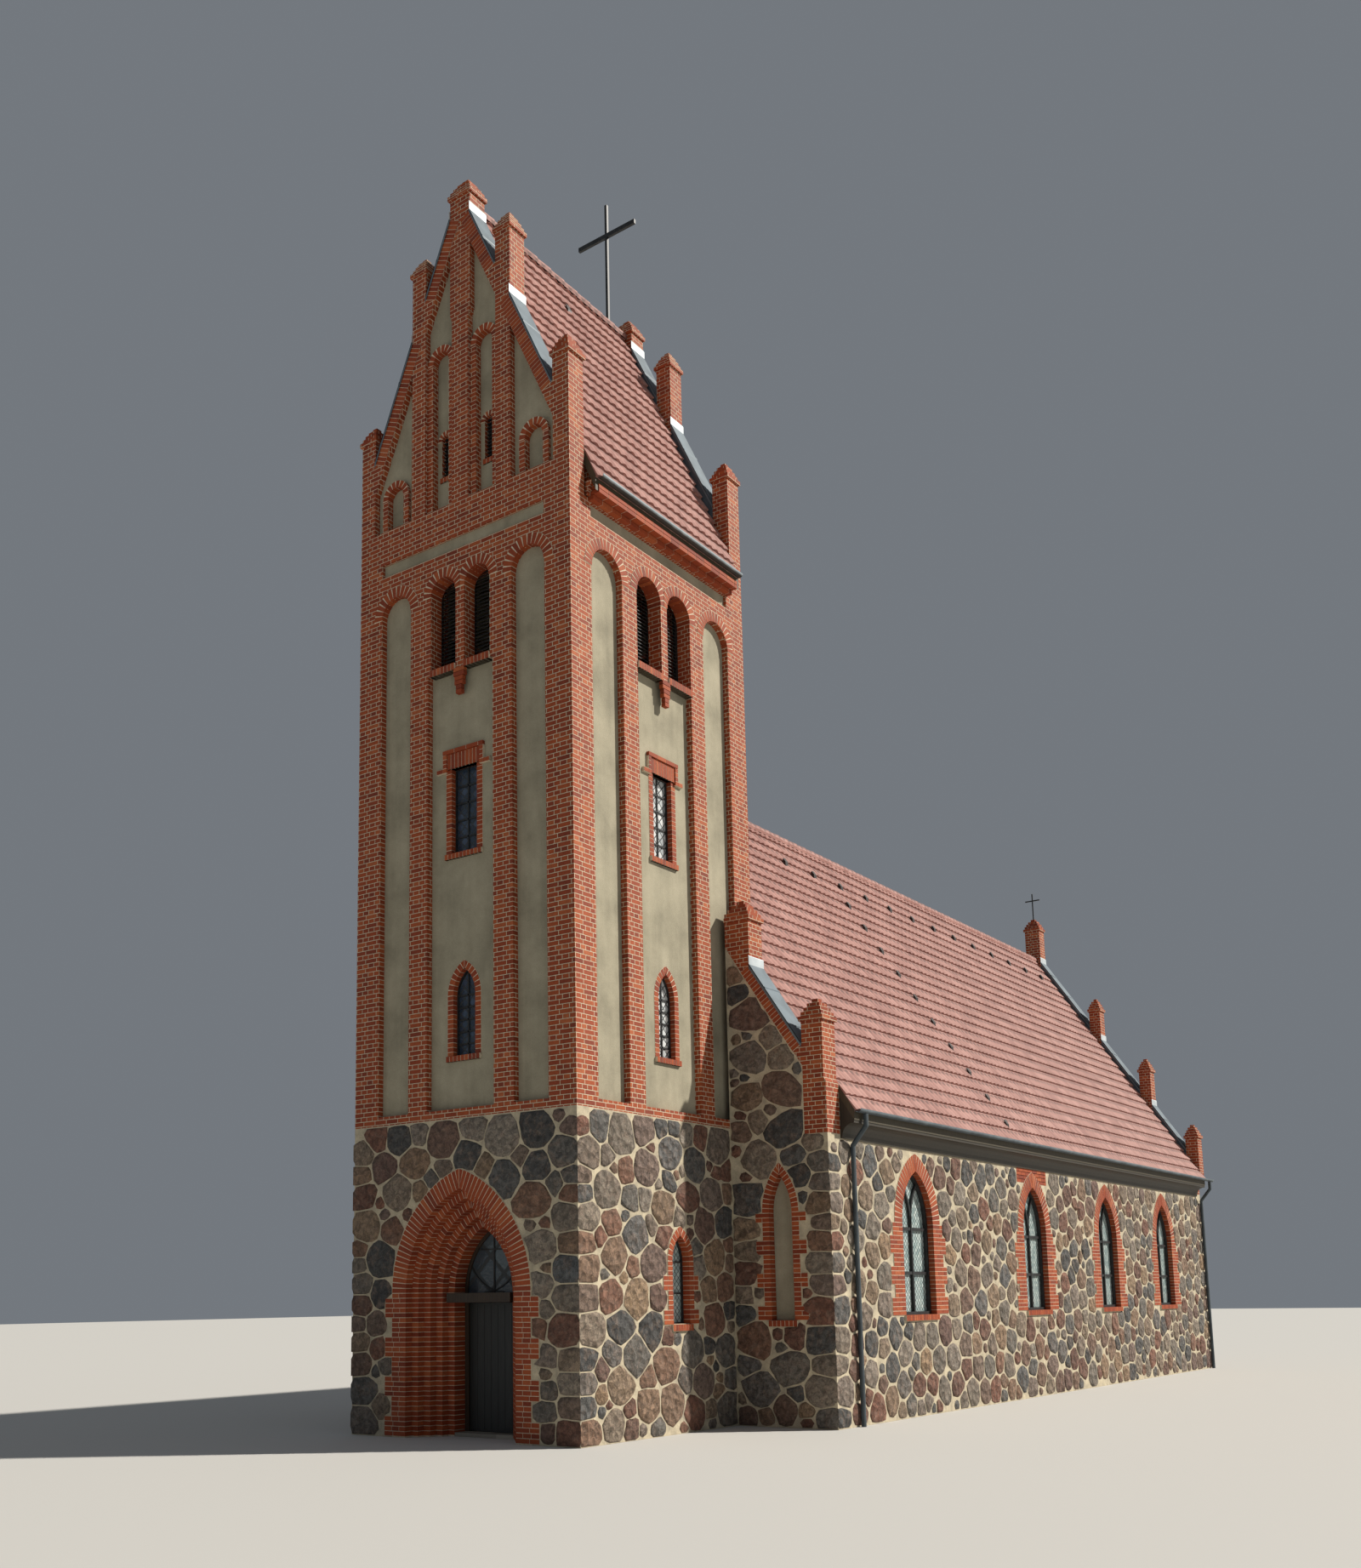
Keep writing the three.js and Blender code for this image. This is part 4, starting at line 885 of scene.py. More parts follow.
def belfry_dressing(side, middle):
    """Arches and sills of the lights and bays, the stub, and the cornice or the gable's arches."""
    light, outer, bay, bay_half = BELFRY[side in GABLED]
    parts = []
    for hand in (-1, 1):
        at = middle + hand * (outer - light)
        arch = round_arch(at, light, BELFRY_TOP, 0.175, 0.01, -0.26)
        arch[..., 0] = middle + hand * np.maximum(hand * (arch[..., 0] - middle), JOINT / 2)
        parts += [arch, round_arch(middle + hand * bay, bay_half, BAY_TOP, 0.185, 0.01, -0.118),
                  sill(at, light, BELFRY_FOOT, 0.032, tread=0.12, back=-0.25)]
    for step, wide in enumerate((0.12, 0.12, 0.095, 0.095, 0.065, 0.065)):
        top = STUB_TOP - step * COURSE
        parts.append(band(middle - wide, middle + wide, top - COURSE, top, 0.03, -0.05))
    if side in GABLED:
        for hand in (-1, 1):
            parts += [round_arch(hand * beside, *shape) for beside, *shape in GABLE_ARCHES]
            parts.append(sill(hand * 0.49, 0.12, 16.17, -0.165, tread=0.09, back=-0.25))
        return parts
    for step, out in enumerate((0.1, 0.218, 0.218)):
        low = CORNICE_FOOT + step * COURSE
        parts.append(band(middle - 2.13, middle + 2.13, low, low + COURSE, out, -0.03))
    return parts


def window_dressing(middle):
    """Margins of a lancet and of an upright window, and the hood over the latter."""
    flush, proud = -SUNK + 0.008, -SUNK + 0.05
    half, spring, apex = LANCET
    return [ring(middle, *LANCET, 0.12, flush, -0.225),
            jambs(middle, half, spring - 13 * COURSE, spring, [0.92], flush, -0.225),
            sill(middle, 0.36, LANCET_FOOT, proud, tread=0.09, back=-0.225),
            jambs(middle, OBLONG_HALF, OBLONG_FOOT, OBLONG_FOOT + 19 * COURSE, [0.92], flush, -0.225),
            sill(middle, 0.4, OBLONG_FOOT, proud, tread=0.09, back=-0.225),
            sill(middle, 0.355, HOOD, -SUNK + 0.03, tread=0.26, back=-0.2),
            band(middle - 0.443, middle + 0.443, HOOD, HOOD + COURSE, -SUNK + 0.055, -0.2),
            jambs(middle, 0.365, HOOD - 4 * COURSE, HOOD, [0.6], proud, -0.2),
            jambs(middle, 0.449, HOOD - 4 * COURSE, HOOD - 3 * COURSE, [1.0], proud, -0.2)]


count = 0
for side, (face, middle) in TOWER_SIDES.items():
    count += dressing(f"tower_arches_{side}", belfry_dressing(side, middle), side, face)
    if side != "east":
        count += dressing(f"tower_windows_{side}", window_dressing(middle), side, face)
print("bricks laid on the tower:", count)

# %% [markdown]
# ## The stepped portal
#
# A ring just over one brick wide frames the doorway. Inside it the wall is drawn in by four
# steps, each half a brick wide and a little deeper, all struck from the same centres. The
# solids give the steps. Here every step gets its bricks: a fan of them over the springing
# line, courses below it, and teeth into the fieldstone.

# %% Portal bricks
PORTAL_HALF, PORTAL_SPRING, PORTAL_APEX = 1.44, 2.25, 4.18
PORTAL_RING, ORDER_IN, ORDER_DEEP, PORTAL_ROWS = 0.3, 0.132, 0.142, 29
PORTAL_FOOT = PORTAL_SPRING - PORTAL_ROWS * COURSE
PORTAL_TEETH = [3.46] * 4 + [2.3] * 4


def drawn_in(inset):
    """The portal's outline made smaller on the same centres: half width, springing, apex."""
    radius = arch_radius(PORTAL_HALF, PORTAL_SPRING, PORTAL_APEX)
    rise = math.sqrt((radius - inset) ** 2 - (radius - PORTAL_HALF) ** 2)
    return PORTAL_HALF - inset, PORTAL_SPRING, PORTAL_SPRING + rise


parts = []
for order in range(5):
    front = (0.006 if order else PROUD) - ORDER_DEEP * order
    back = -ORDER_DEEP * (order + 1) if order < 4 else -0.81
    width, widths = (ORDER_IN, [ORDER_IN / UNIT]) if order else (PORTAL_RING, PORTAL_TEETH)
    outline = drawn_in(PORTAL_RING + ORDER_IN * order)
    parts.append(ring(0, *outline, width, front, back))
    parts.append(jambs(0, outline[0], PORTAL_FOOT, PORTAL_SPRING, widths, front, back))
print("portal bricks:", dressing("portal", parts, "west", FRONT))
dress(mortar, "portal_arch", "portal_jamb")

# %% [markdown]
# ## Fieldstones, laid one by one
#
# Masons set the biggest boulders first and fill the gaps with smaller ones and with chips.
# The script does the same. It drops round stones on a wall, large ones first, wherever there
# is room beside the brickwork and the stones already set. Then every stone grows until it
# nearly meets its neighbours, which gives the many-sided shapes of split boulders. At the
# corners of the building one stone shows on both walls, so those are laid in pairs.

# %% Room on a wall
STRETCH = 1.15
# Radii in metres from large to small, width of the joints, and how far a stone may outgrow its circle
BLOCKY = {"radii": (0.28, 0.25, 0.22, 0.195, 0.17, 0.15, 0.13, 0.11, 0.07), "bed": 0.014, "cap": 1.75}
COBBLED = {"radii": (0.225, 0.2, 0.18, 0.16, 0.14, 0.12, 0.1, 0.075), "bed": 0.03, "cap": 1.4}


def tooth_blocks(centre, half, foot, rows, widths):
    """Rectangles (left, low, right, high) that an opening and its toothed jambs take up, course by course."""
    row = np.arange(rows)
    reach = half + np.array(widths)[row % len(widths)] * UNIT
    return np.stack([centre - reach, foot + row * COURSE, centre + reach, foot + (row + 1) * COURSE], 1)


def room(points, wall):
    """Clear distance from points (along, up) to the nearest edge, block or arch, and less than nought
    inside one: the usual distance formulas for straight lines, rectangles and circles."""
    along, up = points[..., 0], points[..., 1]
    clear = np.min([a * along + b * up + c for a, b, c in wall["edges"]], axis=0)
    low, high = wall["blocks"][:, :2], wall["blocks"][:, 2:]
    beyond = np.abs(points[..., None, :] - (low + high) / 2) - (high - low) / 2
    apart = np.linalg.norm(np.maximum(beyond, 0), axis=-1) + np.minimum(beyond.max(-1), 0)
    clear = np.minimum(clear, apart.min(-1))
    for centre, half, spring, apex, width in wall["arches"]:
        radius = arch_radius(half, spring, apex)
        across = np.abs(along - centre)
        over = np.hypot(across + radius - half, up - spring) - radius - width
        below = np.hypot(np.maximum(across - half - width, 0), spring - up)
        clear = np.minimum(clear, np.where(up > spring, over, below))
    return clear


def quoins(corner, hand, top, seed):
    """Stones stacked at a corner, each as far from the corner as it is wide: (along, up, radius)."""
    radius = np.random.default_rng(seed).uniform(0.12, 0.26, 40)
    up = np.cumsum(radius * 2) - radius
    radius, up = radius[up + radius < top], up[up + radius < top]
    return np.stack([corner - hand * radius * STRETCH, up, radius], 1)


def lay(wall, seed):
    """Stones as rows of (along, up, radius), large ones first, each where it clears all others."""
    rng = np.random.default_rng(seed)
    left, wide, high = wall["area"]
    stones = np.concatenate([quoins(*corner) for corner in wall["corners"]])
    for radius in [radius for radius in wall["radii"] for turn in range(3)]:
        fewer = 3 if radius > 0.1 else 18
        tries = rng.random((int(wide * high / radius ** 2 / fewer) + 20, 2)) * [wide, high] + [left, 0]
        tries = tries[room(tries, wall) > radius * 1.04]
        for corner, *_ in wall["corners"]:
            tries = tries[np.abs(tries[:, 0] - corner) > radius * STRETCH + 0.1]
        flat, placed = tries / [STRETCH, 1], stones[None, :, :2] / [STRETCH, 1]
        fits = (np.linalg.norm(flat[:, None] - placed, axis=-1) - stones[None, :, 2] > radius).all(1)
        tries, flat = tries[fits], flat[fits]
        pairs = np.linalg.norm(flat[:, None] - flat[None], axis=-1) < 2 * radius
        tries = tries[~np.tril(pairs, -1).any(1)]
        stones = np.concatenate([stones, np.column_stack([tries, np.full(len(tries), radius)])])
    return stones


print("radii of the stones:", len(BLOCKY["radii"]), "on the tower,", len(COBBLED["radii"]), "on the nave")

# %% Stone outlines and faces
def outlines(stones, wall, turns, seed):
    """Outline points of all stones, (stones, directions, 2). In each direction the radius is the
    smooth least of the distances to the planes halfway to the neighbours: with c the cosine
    between direction and neighbour and d its distance, r = (sum of (c / d) ** 16) ** (-1 / 16)."""
    place, size, rooted = stones[:, :2] / [STRETCH, 1], stones[:, 2], stones[:, 3] > 0
    gap = place[None] - place[:, None]
    apart = np.linalg.norm(gap, axis=-1)
    np.fill_diagonal(apart, 99)
    plane = (apart ** 2 + size[:, None] ** 2 - size[None] ** 2) / (2 * apart) - wall["bed"] / 2
    nearest = np.argpartition(plane, 18, axis=1)[:, :18]
    toward = np.take_along_axis(np.arctan2(gap[..., 1], gap[..., 0]), nearest, 1)
    plane = np.maximum(np.take_along_axis(plane, nearest, 1), 0.4 * size[:, None])
    angle = np.arange(turns) * 2 * math.pi / turns
    cosine = np.maximum(np.cos(angle - toward[..., None]), 0)
    reach = np.maximum(((cosine / plane[..., None]) ** 16).sum(1), 1e-300) ** (-1 / 16)
    rng = np.random.default_rng(seed)
    waves = [(rng.uniform(0, 6.3, (len(size), 1)), rng.uniform(0, 0.035, (len(size), 1))) for k in range(4)]
    wobble = sum(np.cos(k * angle + phase) * much for k, (phase, much) in enumerate(waves, 2))
    reach = reach * (1 + wobble * ~rooted[:, None])
    reach = np.minimum(reach, np.where(rooted, 1.45, wall["cap"])[:, None] * size[:, None])
    way = np.stack([np.cos(angle) * STRETCH, np.sin(angle)], 1)
    for corner, hand, *_ in wall["corners"]:
        rest = (corner - stones[:, 0]) * hand - np.where(rooted, 0, 0.03)
        reach = np.minimum(reach, rest[:, None] / np.maximum(way[:, 0] * hand, 1e-3))
    for step in range(8):
        clear = room(stones[:, None, :2] + way * reach[..., None], wall)
        reach = np.maximum(reach + np.minimum(clear - wall["bed"] / 2 - 0.003, 0), 0.2 * size[:, None])
    return way[None] * reach[..., None]


def stone_faces(name, wall, stones, turns, rings, seed):
    """Stones as low domes: the outline repeated at smaller scales, higher each time, and a crown
    point. Stones are rows of (along, up, radius, one at a corner, one to be built)."""
    edge = outlines(stones, wall, turns, seed)[stones[:, 4] > 0]
    stones = stones[stones[:, 4] > 0]
    rng = np.random.default_rng(seed + 1)
    scale, lift = np.array(rings).T
    shrunk = edge[:, None] * scale[None, :, None, None]
    points = stones[:, None, None, :2] + shrunk
    tilt = rng.normal(0, 0.035, (len(stones), 2)) * (stones[:, 3:4] == 0)
    lean = np.clip(np.einsum("nrka,na->nrk", shrunk, tilt), -0.008, 0.008)
    out = lift[None, :, None] + lean * (lift > 0.01)[None, :, None]
    for corner, hand, *_ in wall["corners"]:
        on_corner = (np.abs(points[:, :1, :, 0] - corner) < 0.003) & (stones[:, 3] > 0)[:, None, None]
        out = np.where(on_corner, np.maximum(out, 0.016), out)
        turned = on_corner & (scale == 1)[None, :, None]
        points[..., 0] = np.where(turned, corner + hand * 0.016, points[..., 0])
    rims = np.concatenate([points, np.minimum(out, 0.032)[..., None]], -1).reshape(len(stones), -1, 3)
    crown = np.concatenate([stones[:, :2], rng.uniform(0.8, 1.1, (len(stones), 1)) * lift[-1]], 1)
    vertices = np.concatenate([rims, crown[:, None]], 1)
    total, last, k = vertices.shape[1], (len(rings) - 1) * turns, np.arange(turns)
    after, level = (k + 1) % turns, np.arange(len(rings) - 1)[:, None] * turns
    quads = np.stack([level + k, level + after, level + turns + after, level + turns + k], -1).reshape(-1, 4)
    fans = np.stack([last + k, last + after, np.full(turns, total - 1)], 1)
    base = (np.arange(len(stones)) * total)[:, None, None]
    faces = [(quads[None] + base).reshape(-1, 4), (fans[None] + base).reshape(-1, 3)]
    shade = rng.random(len(stones))
    shade = np.concatenate([np.repeat(shade, len(quads)), np.repeat(shade, turns)])
    corners = on_side(vertices, wall["side"], wall["face"])
    mesh_piece(name, corners, faces, split_granite, smooth=True, shade=shade)
    return len(stones)


def fieldstone():
    """Granite and gneiss boulders, split with a hammer: dull, each stone its own grey, brown or red
    from its number, with darker patches, a few warm veins, facets a fist wide and fine speckles."""
    material, tree, here = start("split granite and gneiss boulders")
    shade = add(tree, "Attribute", attribute_name="shade").node.outputs["Fac"]
    codes = ("#444342", "#595856", "#6d675f", "#7b7063", "#66483c", "#7b5545", "#806c57", "#877e72",
             "#674f47", "#947b60", "#5b5d5e")
    base = shades(add(tree, "ValToRGB", shade), np.linspace(0, 1, len(codes)), codes)
    patch = add(tree, "TexNoise", here, Scale=11.0, Detail=7.0, Roughness=0.68, Distortion=0.8)
    speck = add(tree, "TexNoise", here, Scale=70.0, Detail=4.0, Roughness=0.7)
    vein = add(tree, "TexNoise", here, Scale=5.0, Detail=3.0, Distortion=1.5)
    facet = add(tree, "TexVoronoi", here, Scale=6.5, feature="F1")
    veined = add(tree, "MapRange", vein, 0.5, 0.62, 0.0, 0.4)
    base = add(tree, "Mix", veined, base, linear("#7d6a5c"), data_type="RGBA")
    tone = add(tree, "MapRange", patch, 0.4, 0.6, 0.62, 1.36)
    fine = add(tree, "MapRange", speck, 0.38, 0.62, 0.74, 1.26)
    light = add(tree, "Math", tone, fine, operation="MULTIPLY")
    colour = add(tree, "VectorMath", base, light, operation="SCALE")
    height = 0.0
    for noise, deep in ((patch, 0.05), (speck, 0.012), (facet, 0.09)):
        height = add(tree, "Math", noise, deep, height, operation="MULTIPLY_ADD")
    return close(material, colour, 0.85, height)


split_granite = fieldstone()
# Rims of a stone from the mortar to its crown: scale and height
ROUND = [(1.0, -0.012), (0.965, 0.008), (0.86, 0.019), (0.5, 0.026)]
CHIP = [(1.0, -0.012), (0.9, 0.009)]
CHIP_RADIUS = 0.09
print("stone material:", split_granite.name)

# %% Walls with stones
def clad(name, face, left, right, top, corners, edges, openings=(), blocks=(), arches=()):
    """One wall to fill with stones: its area, its corners (along, hand, top, seed), and what stones
    keep clear of. An edge is a half-plane (a, b, c), where a * along + b * up + c is the distance."""
    taken, heads = [np.reshape(blocks, (-1, 4))], list(arches)
    for centre, ((half, spring, apex), rows, width, widths, _, (reach, foot, sill_top)) in openings:
        taken.append(tooth_blocks(centre, half, round(spring - rows * COURSE, 3), rows, widths))
        taken.append([(centre - reach, foot, centre + reach, sill_top)])
        heads.append((centre, half, spring, apex, width))
    return {"name": name, "side": name.split("_")[1], "face": face, "area": (left, right - left, top),
            "corners": corners, "edges": [(0, 1, 0), *edges],
            "blocks": np.concatenate(taken), "arches": heads}


def gable(line, drop=0.38):
    """Both edges of a gable a given drop below its coping line, as unit half-planes."""
    length = math.hypot(1, line[1])
    return [(-hand * line[1] / length, -1 / length, (line[0] - drop) / length) for hand in (1, -1)]


base_edge, drawn = (0, -1, BASE_TOP - 0.005), drawn_in(PORTAL_RING)
WALLS = [clad("tower_west", FRONT, -TOWER_HALF, TOWER_HALF, BASE_TOP,
              [(-TOWER_HALF, -1, BASE_TOP, 5), (TOWER_HALF, 1, BASE_TOP, 6)], [base_edge],
              blocks=tooth_blocks(0, drawn[0], PORTAL_FOOT, PORTAL_ROWS, PORTAL_TEETH),
              arches=[(0, *drawn, PORTAL_RING)])]
for side, hand in HANDS:
    mark = 6 if hand > 0 else 5
    ends = sorted((hand * FRONT, hand * NAVE_FRONT))
    WALLS.append(clad(f"tower_{side}", TOWER_HALF, *ends, BASE_TOP, [(hand * FRONT, -hand, BASE_TOP, mark)],
                      [base_edge, (-hand, 0, NAVE_FRONT)], [(hand * BASE_WINDOW_Y, BASE_WINDOW)]))
    ends = sorted((hand * NAVE_FRONT, hand * NAVE_BACK))
    patch = (hand * PATCH_Y - PATCH_HALF - 0.01, PATCH_LOW, hand * PATCH_Y + PATCH_HALF + 0.01, EAVES + 0.01)
    WALLS.append(clad(f"nave_{side}", NAVE_HALF, *ends, EAVES,
                      [(hand * NAVE_FRONT, -hand, QUOIN_TOP, mark + 2),
                       (hand * NAVE_BACK, hand, QUOIN_TOP, mark + 4)],
                      [(0, -1, EAVES)], [(hand * y, NAVE_WINDOW) for y in NAVE_WINDOW_Y], patch))
    ends = sorted((hand * TOWER_HALF, hand * NAVE_HALF))
    pier = (hand * 4.035 - 0.25, SHOULDER_Z, hand * 4.035 + 0.25, 12.0)
    WALLS.append(clad(f"nave_west_{side}", NAVE_FRONT, *ends, 8.0,
                      [(hand * NAVE_HALF, hand, QUOIN_TOP, mark + 2)],
                      [(hand, 0, -TOWER_HALF), *gable(NAVE_LINE)], [(hand * WEST_NICHE_X, WEST_NICHE)], pier))
WALLS.append(clad("nave_east", NAVE_BACK, -NAVE_HALF, NAVE_HALF, 12.0,
                  [(-NAVE_HALF, -1, QUOIN_TOP, 10), (NAVE_HALF, 1, QUOIN_TOP, 9)], gable(EAST_LINE),
                  [(x, EAST_NICHE) for x in (-EAST_NICHE_X, EAST_NICHE_X)]))
laid = {"boulders": 0, "chips": 0}
for index, wall in enumerate(WALLS):
    wall.update(COBBLED if wall["name"] in ("nave_south", "nave_north", "nave_east") else BLOCKY)
    stones = lay(wall, 40 + index)
    rooted = np.arange(len(stones)) < sum(len(quoins(*corner)) for corner in wall["corners"])
    large = stones[:, 2] > CHIP_RADIUS
    for kind, turns, rings, chosen in (("boulders", 16, ROUND, large), ("chips", 8, CHIP, ~large)):
        marked = np.column_stack([stones, rooted, chosen])
        laid[kind] += stone_faces(f"{kind}_{wall['name']}", wall, marked, turns, rings, 70 + index)
print(laid)

# %% [markdown]
# ## Bars and frames
#
# Window frames here are dark painted steel. Every bar is a flat strip that follows a line in
# the window's plane, straight or curved, so one function draws them all: it walks along the
# line and lays a block between each pair of points, square to the way it goes.

# %% Strips along a line
def strip(points, width, out, back):
    """Blocks along a line of (along, up): each side is the line moved sideways by half the width,
    with the sideways direction averaged where two stretches meet."""
    points = np.asarray(points, float)
    way = np.diff(points, axis=0)
    way /= np.linalg.norm(way, axis=1, keepdims=True)
    mean = np.concatenate([way[:1], way[:-1] + way[1:], way[-1:]])
    mean /= np.linalg.norm(mean, axis=1, keepdims=True)
    stretch = 1 / np.maximum(0.5, np.concatenate([[1], np.einsum("ij,ij->i", mean[1:-1], way[1:]), [1]]))
    aside = np.stack([mean[:, 1], -mean[:, 0]], 1) * (width / 2) * stretch[:, None]
    right_edge, left_edge = points + aside, points - aside
    quad = np.stack([right_edge[:-1], right_edge[1:], left_edge[1:], left_edge[:-1]], 1)
    return np.concatenate([np.insert(quad, 2, level, axis=2) for level in (back, out)], 1)


def arc(centre, radius, start_angle, end_angle, count=10):
    """Points on a circle between two angles in degrees."""
    angle = np.radians(np.linspace(start_angle, end_angle, count))
    return np.stack([centre[0] + radius * np.cos(angle), centre[1] + radius * np.sin(angle)], 1)


def arch_line(half, foot, spring, apex, inset=0.0):
    """The outline of a pointed opening, drawn in by an inset, as one closed walk of points."""
    offset = arch_radius(half, spring, apex) - half
    radius, edge = half + offset - inset, half - inset
    lean = math.degrees(math.acos(offset / radius))
    arcs = [arc((-offset, spring), radius, 0, lean), arc((offset, spring), radius, 180 - lean, 180)[1:]]
    return np.concatenate([[[-edge, foot + inset], [edge, foot + inset]], *arcs, [[-edge, foot + inset]]])


# Steel bars under old black oil paint: dark, half dull
steel = clouded("black painted steel bar", ("#17191a", "#2c2e2f"), (12, 12, 12), 4.0, 0.5, places=(0.35, 0.7))
print("strip blocks for one arch:", len(strip(arch_line(0.65, 1.73, 3.38, 4.333, 0.02), 0.04, 0, -0.04)))

# %% [markdown]
# ## Glazing
#
# The nave windows have one middle bar, two cross bars, and at the top the middle bar forks
# into two arcs that run to the frame, as in old stone tracery. Smaller windows have a middle
# bar and a few cross bars. The fanlight over the door has two curved bars.

# %% Window bars
def nave_glazing(centre):
    """Frame, middle bar, two cross bars, and two branches struck from beyond the window's edges."""
    half, spring, apex = NAVE_WINDOW[0]
    foot, radius = 1.763, arch_radius(half, spring, apex)
    fork = math.degrees(math.acos(1 - half / 2 / radius))
    lines = ((arch_line(half, foot, spring, apex, 0.025), 0.06, -0.10),
             ([(0, foot), (0, spring)], 0.05, -0.115),
             ([(-half, 2.502), (half, 2.502)], 0.055, -0.125),
             ([(-half, 3.29), (half, 3.29)], 0.055, -0.125),
             (arc((radius, spring), radius, 180, 180 - fork), 0.045, -0.12),
             (arc((-radius, spring), radius, 0, fork), 0.045, -0.12))
    return np.concatenate([strip(*line, -0.169) for line in lines]) + [centre, 0, 0]


def barred(centre, outline, half, levels, front, back, middle=True):
    """A frame along an outline, cross bars at given levels, and a middle bar unless it is left out."""
    lines = [[(-half, z), (half, z)] for z in levels]
    if middle:
        lines.append([(0, outline[0][1]), (0, max(point[1] for point in outline) - 0.02)])
    bars = [strip(outline, 0.035, front, back)] + [strip(line, 0.028, front - 0.01, back) for line in lines]
    return np.concatenate(bars) + [centre, 0, 0]


total = 0
for side, hand in HANDS:
    cells = np.concatenate([nave_glazing(hand * y) for y in NAVE_WINDOW_Y])
    block_piece(f"nave_bars_{side}", on_side(cells, side, NAVE_HALF), steel)
    half, spring, apex = BASE_WINDOW[0]
    outline = arch_line(half, 1.70, spring, apex, 0.015)
    cells = barred(hand * BASE_WINDOW_Y, outline, half, (2.19, 2.69), -0.115, -0.149, middle=False)
    block_piece(f"base_window_bars_{side}", on_side(cells, side, TOWER_HALF), steel)
    total += len(cells)
for side in ("west", "south", "north"):
    face, middle = TOWER_SIDES[side]
    half, spring, apex = LANCET
    foot, top = OBLONG_FOOT, 10.84
    tall = [(-0.27, foot), (0.27, foot), (0.27, top), (-0.27, top), (-0.27, foot)]
    slim = arch_line(half, LANCET_FOOT, spring, apex, 0.012)
    cells = np.concatenate([barred(middle, tall, OBLONG_HALF, foot + 0.29 * np.arange(1, 5), -0.205, -0.234),
                            barred(middle, slim, half, LANCET_FOOT + 0.2 * np.arange(1, 6), -0.205, -0.234)])
    block_piece(f"tower_bars_{side}", on_side(cells, side, face), steel)
    total += len(cells)
apex = drawn_in(PORTAL_RING + 4 * ORDER_IN + 0.06)[2]
fan = (([(0, 2.245), (0, apex - 0.02)], 0.026, -0.828), ([(-0.36, 2.93), (0.36, 2.93)], 0.022, -0.83),
       (arc((-0.20, 3.02), 0.77, -90, -8), 0.024, -0.83), (arc((0.20, 3.02), 0.77, 188, 270), 0.024, -0.83))
cells = np.concatenate([strip(*line, -0.844) for line in fan])
block_piece("fanlight_bars", on_side(cells, "west", FRONT), steel)
print("small bars:", total)

# %% [markdown]
# ## Belfry louvres
#
# Close-set slats of black painted wood keep rain out and let the sound through. Each slat
# slopes down and outwards. The solid grille stays for collision, and these finer slats, one
# every 65 mm, take its place in the picture.

# %% Louvre slats
# Planed softwood under black paint: dull, with faint grain along the slats
louvre_paint = clouded("black painted wood slat", ("#141415", "#2b2b2a"), (8, 8, 60), 4.0, 0.6, 0.001,
                       places=(0.35, 0.7))
SLAT_GAP, SLAT_THICK, MULLION, LOUVRE_FRONT = 0.065, 0.012, 0.09, -0.266
LOUVRE_FOOT, LOUVRE_TOP = 12.601, 14.269
VENT_X, VENT_HALF = 0.49, 0.088


def slats(half):
    """Sloping boards as blocks whose back edge is raised by 55 mm, with a border and a middle post."""
    foot, crown, front, back = LOUVRE_FOOT, LOUVRE_TOP, LOUVRE_FRONT, LOUVRE_FRONT - 0.06
    levels = np.arange(foot + 0.03, crown - 0.06, SLAT_GAP)
    parts = [boxes((low, levels, back), (high, levels + SLAT_THICK, front))
             for low, high in ((-half, -MULLION), (MULLION, half))]
    for part in parts:
        part[:, :4, 1] += 0.055
    parts.append(boxes(((-half, half - 0.05, -MULLION), foot, back),
                       ((-half + 0.05, half, MULLION), crown, front)))
    parts.append(boxes((-half, (foot, crown - 0.04), back), (half, (foot + 0.04, crown), front)))
    return np.concatenate(parts)


for side, (face, middle) in TOWER_SIDES.items():
    cells = slats(0.714 if side in GABLED else 0.814) + [middle, 0, 0]
    piece = block_piece(f"belfry_slats_{side}", on_side(cells, side, face), louvre_paint)
    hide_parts(f"belfry_louvres_{side}")
levels, x = np.arange(16.19, 16.93, SLAT_GAP), np.array([-VENT_X, VENT_X])
across, up = np.repeat(x, len(levels)), np.tile(levels, 2)
for side in GABLED:
    blades = boxes((across - VENT_HALF, up, -0.28), (across + VENT_HALF, up + SLAT_THICK, -0.24))
    backs = boxes((x - VENT_HALF, 16.172, -0.298), (x + VENT_HALF, 16.87, -0.285))
    cells = on_side(np.concatenate([blades, backs]), side, TOWER_SIDES[side][0])
    block_piece(f"gable_vents_{side}", cells, louvre_paint)
print("slats a side:", len(slats(0.714)))
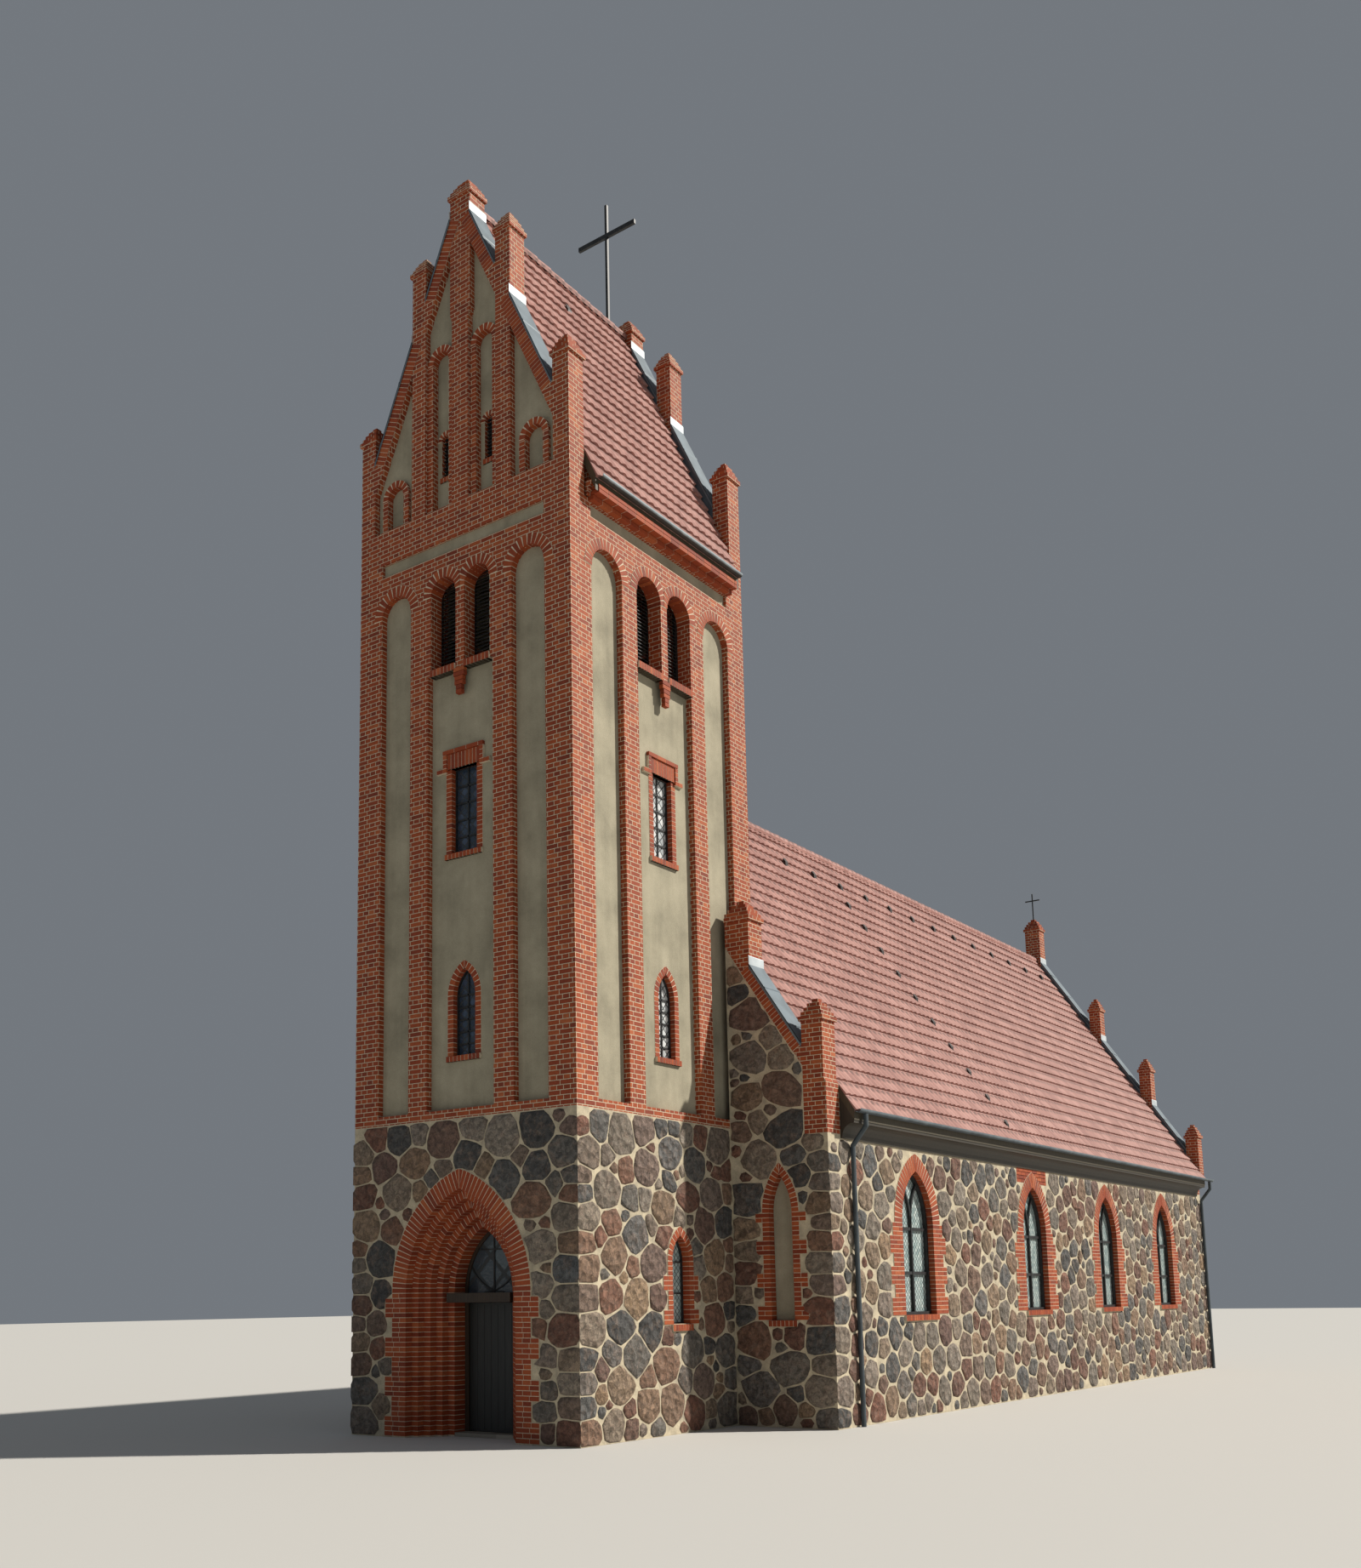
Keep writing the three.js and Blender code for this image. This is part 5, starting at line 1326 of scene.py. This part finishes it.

# %% [markdown]
# ## Glass, timber and floor
#
# The window glass is cloudy cathedral glass in small leaded panes, pale green-grey. The pale copy, used in
# the nave and base windows, is painted daylight shining through. The tower windows get a darker copy as
# painted shade, as there is no light behind them, and the two that catch the sun get a bright copy as painted
# sunlight. Frame and beam are dark oiled oak, and the boarded door is painted black-green.

# %% Remaining materials
def leaded_glass(name, codes, pane):
    """Rolled glass in square panes set cornerwise: glossy, rippled, each pane its own tint, with
    dull lines of lead between. Across a pane the larger distance to its middle finds the lead."""
    material, tree, here = start(name)
    flat = wall_place(tree)["flat"]
    turned = add(tree, "Mapping", flat, Rotation=(0, 0, math.radians(45)), Scale=(1 / pane,) * 3)
    away = []
    for axis in add(tree, "SeparateXYZ", turned).node.outputs[:2]:
        part = add(tree, "Math", add(tree, "Math", axis, operation="FRACT"), 0.5, operation="SUBTRACT")
        away.append(add(tree, "Math", part, operation="ABSOLUTE"))
    lead = add(tree, "Math", add(tree, "Math", *away, operation="MAXIMUM"), 0.42, operation="GREATER_THAN")
    cell = add(tree, "VectorMath", turned, operation="FLOOR")
    tint = add(tree, "TexWhiteNoise", cell, noise_dimensions="2D")
    ripple = add(tree, "TexNoise", here, Scale=25.0, Detail=2.0)
    glass = shades(add(tree, "ValToRGB", add(tree, "Mix", 0.3, tint, ripple)), (0.1, 0.5, 0.9), codes)
    colour = add(tree, "Mix", lead, glass, linear("#33383a"), data_type="RGBA")
    waves = add(tree, "Math", ripple, 0.003, operation="MULTIPLY")
    height = add(tree, "Math", lead, 0.003, waves, operation="MULTIPLY_ADD")
    return close(material, colour, add(tree, "Mix", lead, 0.12, 0.5), height)


def wood(name, codes, roughness=0.6):
    """Sawn boards under thin paint, stain or oil: dull, with grain drawn out along Z."""
    return clouded(name, codes, (40, 40, 3), 5.0, roughness, 0.0015)


# Honed limestone slabs of half a metre: pale, half dull, with narrow dark joints
flags, tree, here = start("honed limestone flags")
slab = add(tree, "TexBrick", here, Color1=BLACK, Color2=WHITE, Mortar=BLACK, Scale=1.0,
           Mortar_Size=0.004, Brick_Width=0.5, Row_Height=0.5, squash=1.0)
close(flags, shades(add(tree, "ValToRGB", slab), (0.0, 1.0), ("#857f74", "#a29b8d")), 0.6)

# Three copies of one glass: pale as painted daylight through it, dark as painted shade in the tower, and
# bright as painted sunlight on the tower's two sunny windows.
dress(leaded_glass("cathedral glass in lead, pale as painted daylight", ("#8ea3a3", "#a9bbb9", "#c6d3cf"), 0.075),
      "nave_window_", "base_window_")
dress(leaded_glass("cathedral glass in lead, dark as painted shade", ("#27313f", "#323f50", "#46546a"), 0.12),
      "lancet_window", "oblong_window")
dress(leaded_glass("cathedral glass in lead, bright as painted sunlight", ("#a9b0b2", "#c9cecf", "#e6e8e6"), 0.12),
      "lancet_window_south", "oblong_window_south")
dress(leaded_glass("drawn glass, grey", ("#39424a", "#4a555c", "#5f6b70"), 0.4), "tympanum_glass")
dress(wood("dark oiled oak", ("#2c231b", "#3f3225")), "door_frame")
dress(wood("weathered painted boards", ("#3d3628", "#4e4634")), "nave_roof", "tower_roof")
# The eaves box lies in shade under the gutter. Its brown boards are darkened further as painted shade.
dress(wood("brown eaves boards, darkened as painted shade", ("#2c271e", "#393327")), "nave_eaves_box")
door_paint = wood("black-green door paint", ("#1c1f1f", "#282c2b"), 0.4)
dress(door_paint, "door_leaf")
dress(steel, "door_handle", "tower_cross", "nave_cross")
dress(flags, "floor")
dress(louvre_paint, "belfry_louvres")
print("all solids dressed:", all(slot.material for node in nodes.values() for slot in node.material_slots))

# %% [markdown]
# ## Door boards
#
# The leaf is a flat panel. Upright boards with narrow gaps between them are laid on its front,
# clear of the edges, so the leaf still turns freely in its frame.

# %% Boards on the leaf
edges = np.linspace(-0.5, 0.5, 8)
boards = boxes((edges[:-1] + 0.003, 0.10, -0.846), (edges[1:] - 0.003, 2.05, -0.838))
block_piece("door_boards", on_side(boards, "west", FRONT), door_paint, body="door")
print("door boards:", len(boards))

# %% Floor and finish
FLOOR_HALF, FLOOR_Z = 150, -0.002
floor_mesh = bpy.data.meshes.new("studio_floor")
square = [(-1, -1), (1, -1), (1, 1), (-1, 1)]
floor_mesh.from_pydata([(FLOOR_HALF * x, FLOOR_HALF * y, FLOOR_Z) for x, y in square], [], [(0, 1, 2, 3)])
studio_floor = new_object("studio_floor", floor_mesh)
floor_mesh.materials.append(close(start("pale studio floor")[0], linear("#c9c7c2"), 0.9))

triangles = 0
for piece in bpy.context.scene.objects:
    if piece.type == "MESH":
        counts = np.empty(len(piece.data.polygons), np.int32)
        piece.data.polygons.foreach_get("loop_total", counts)
        triangles += int((counts - 2).sum())
print("triangles in the scene:", triangles)
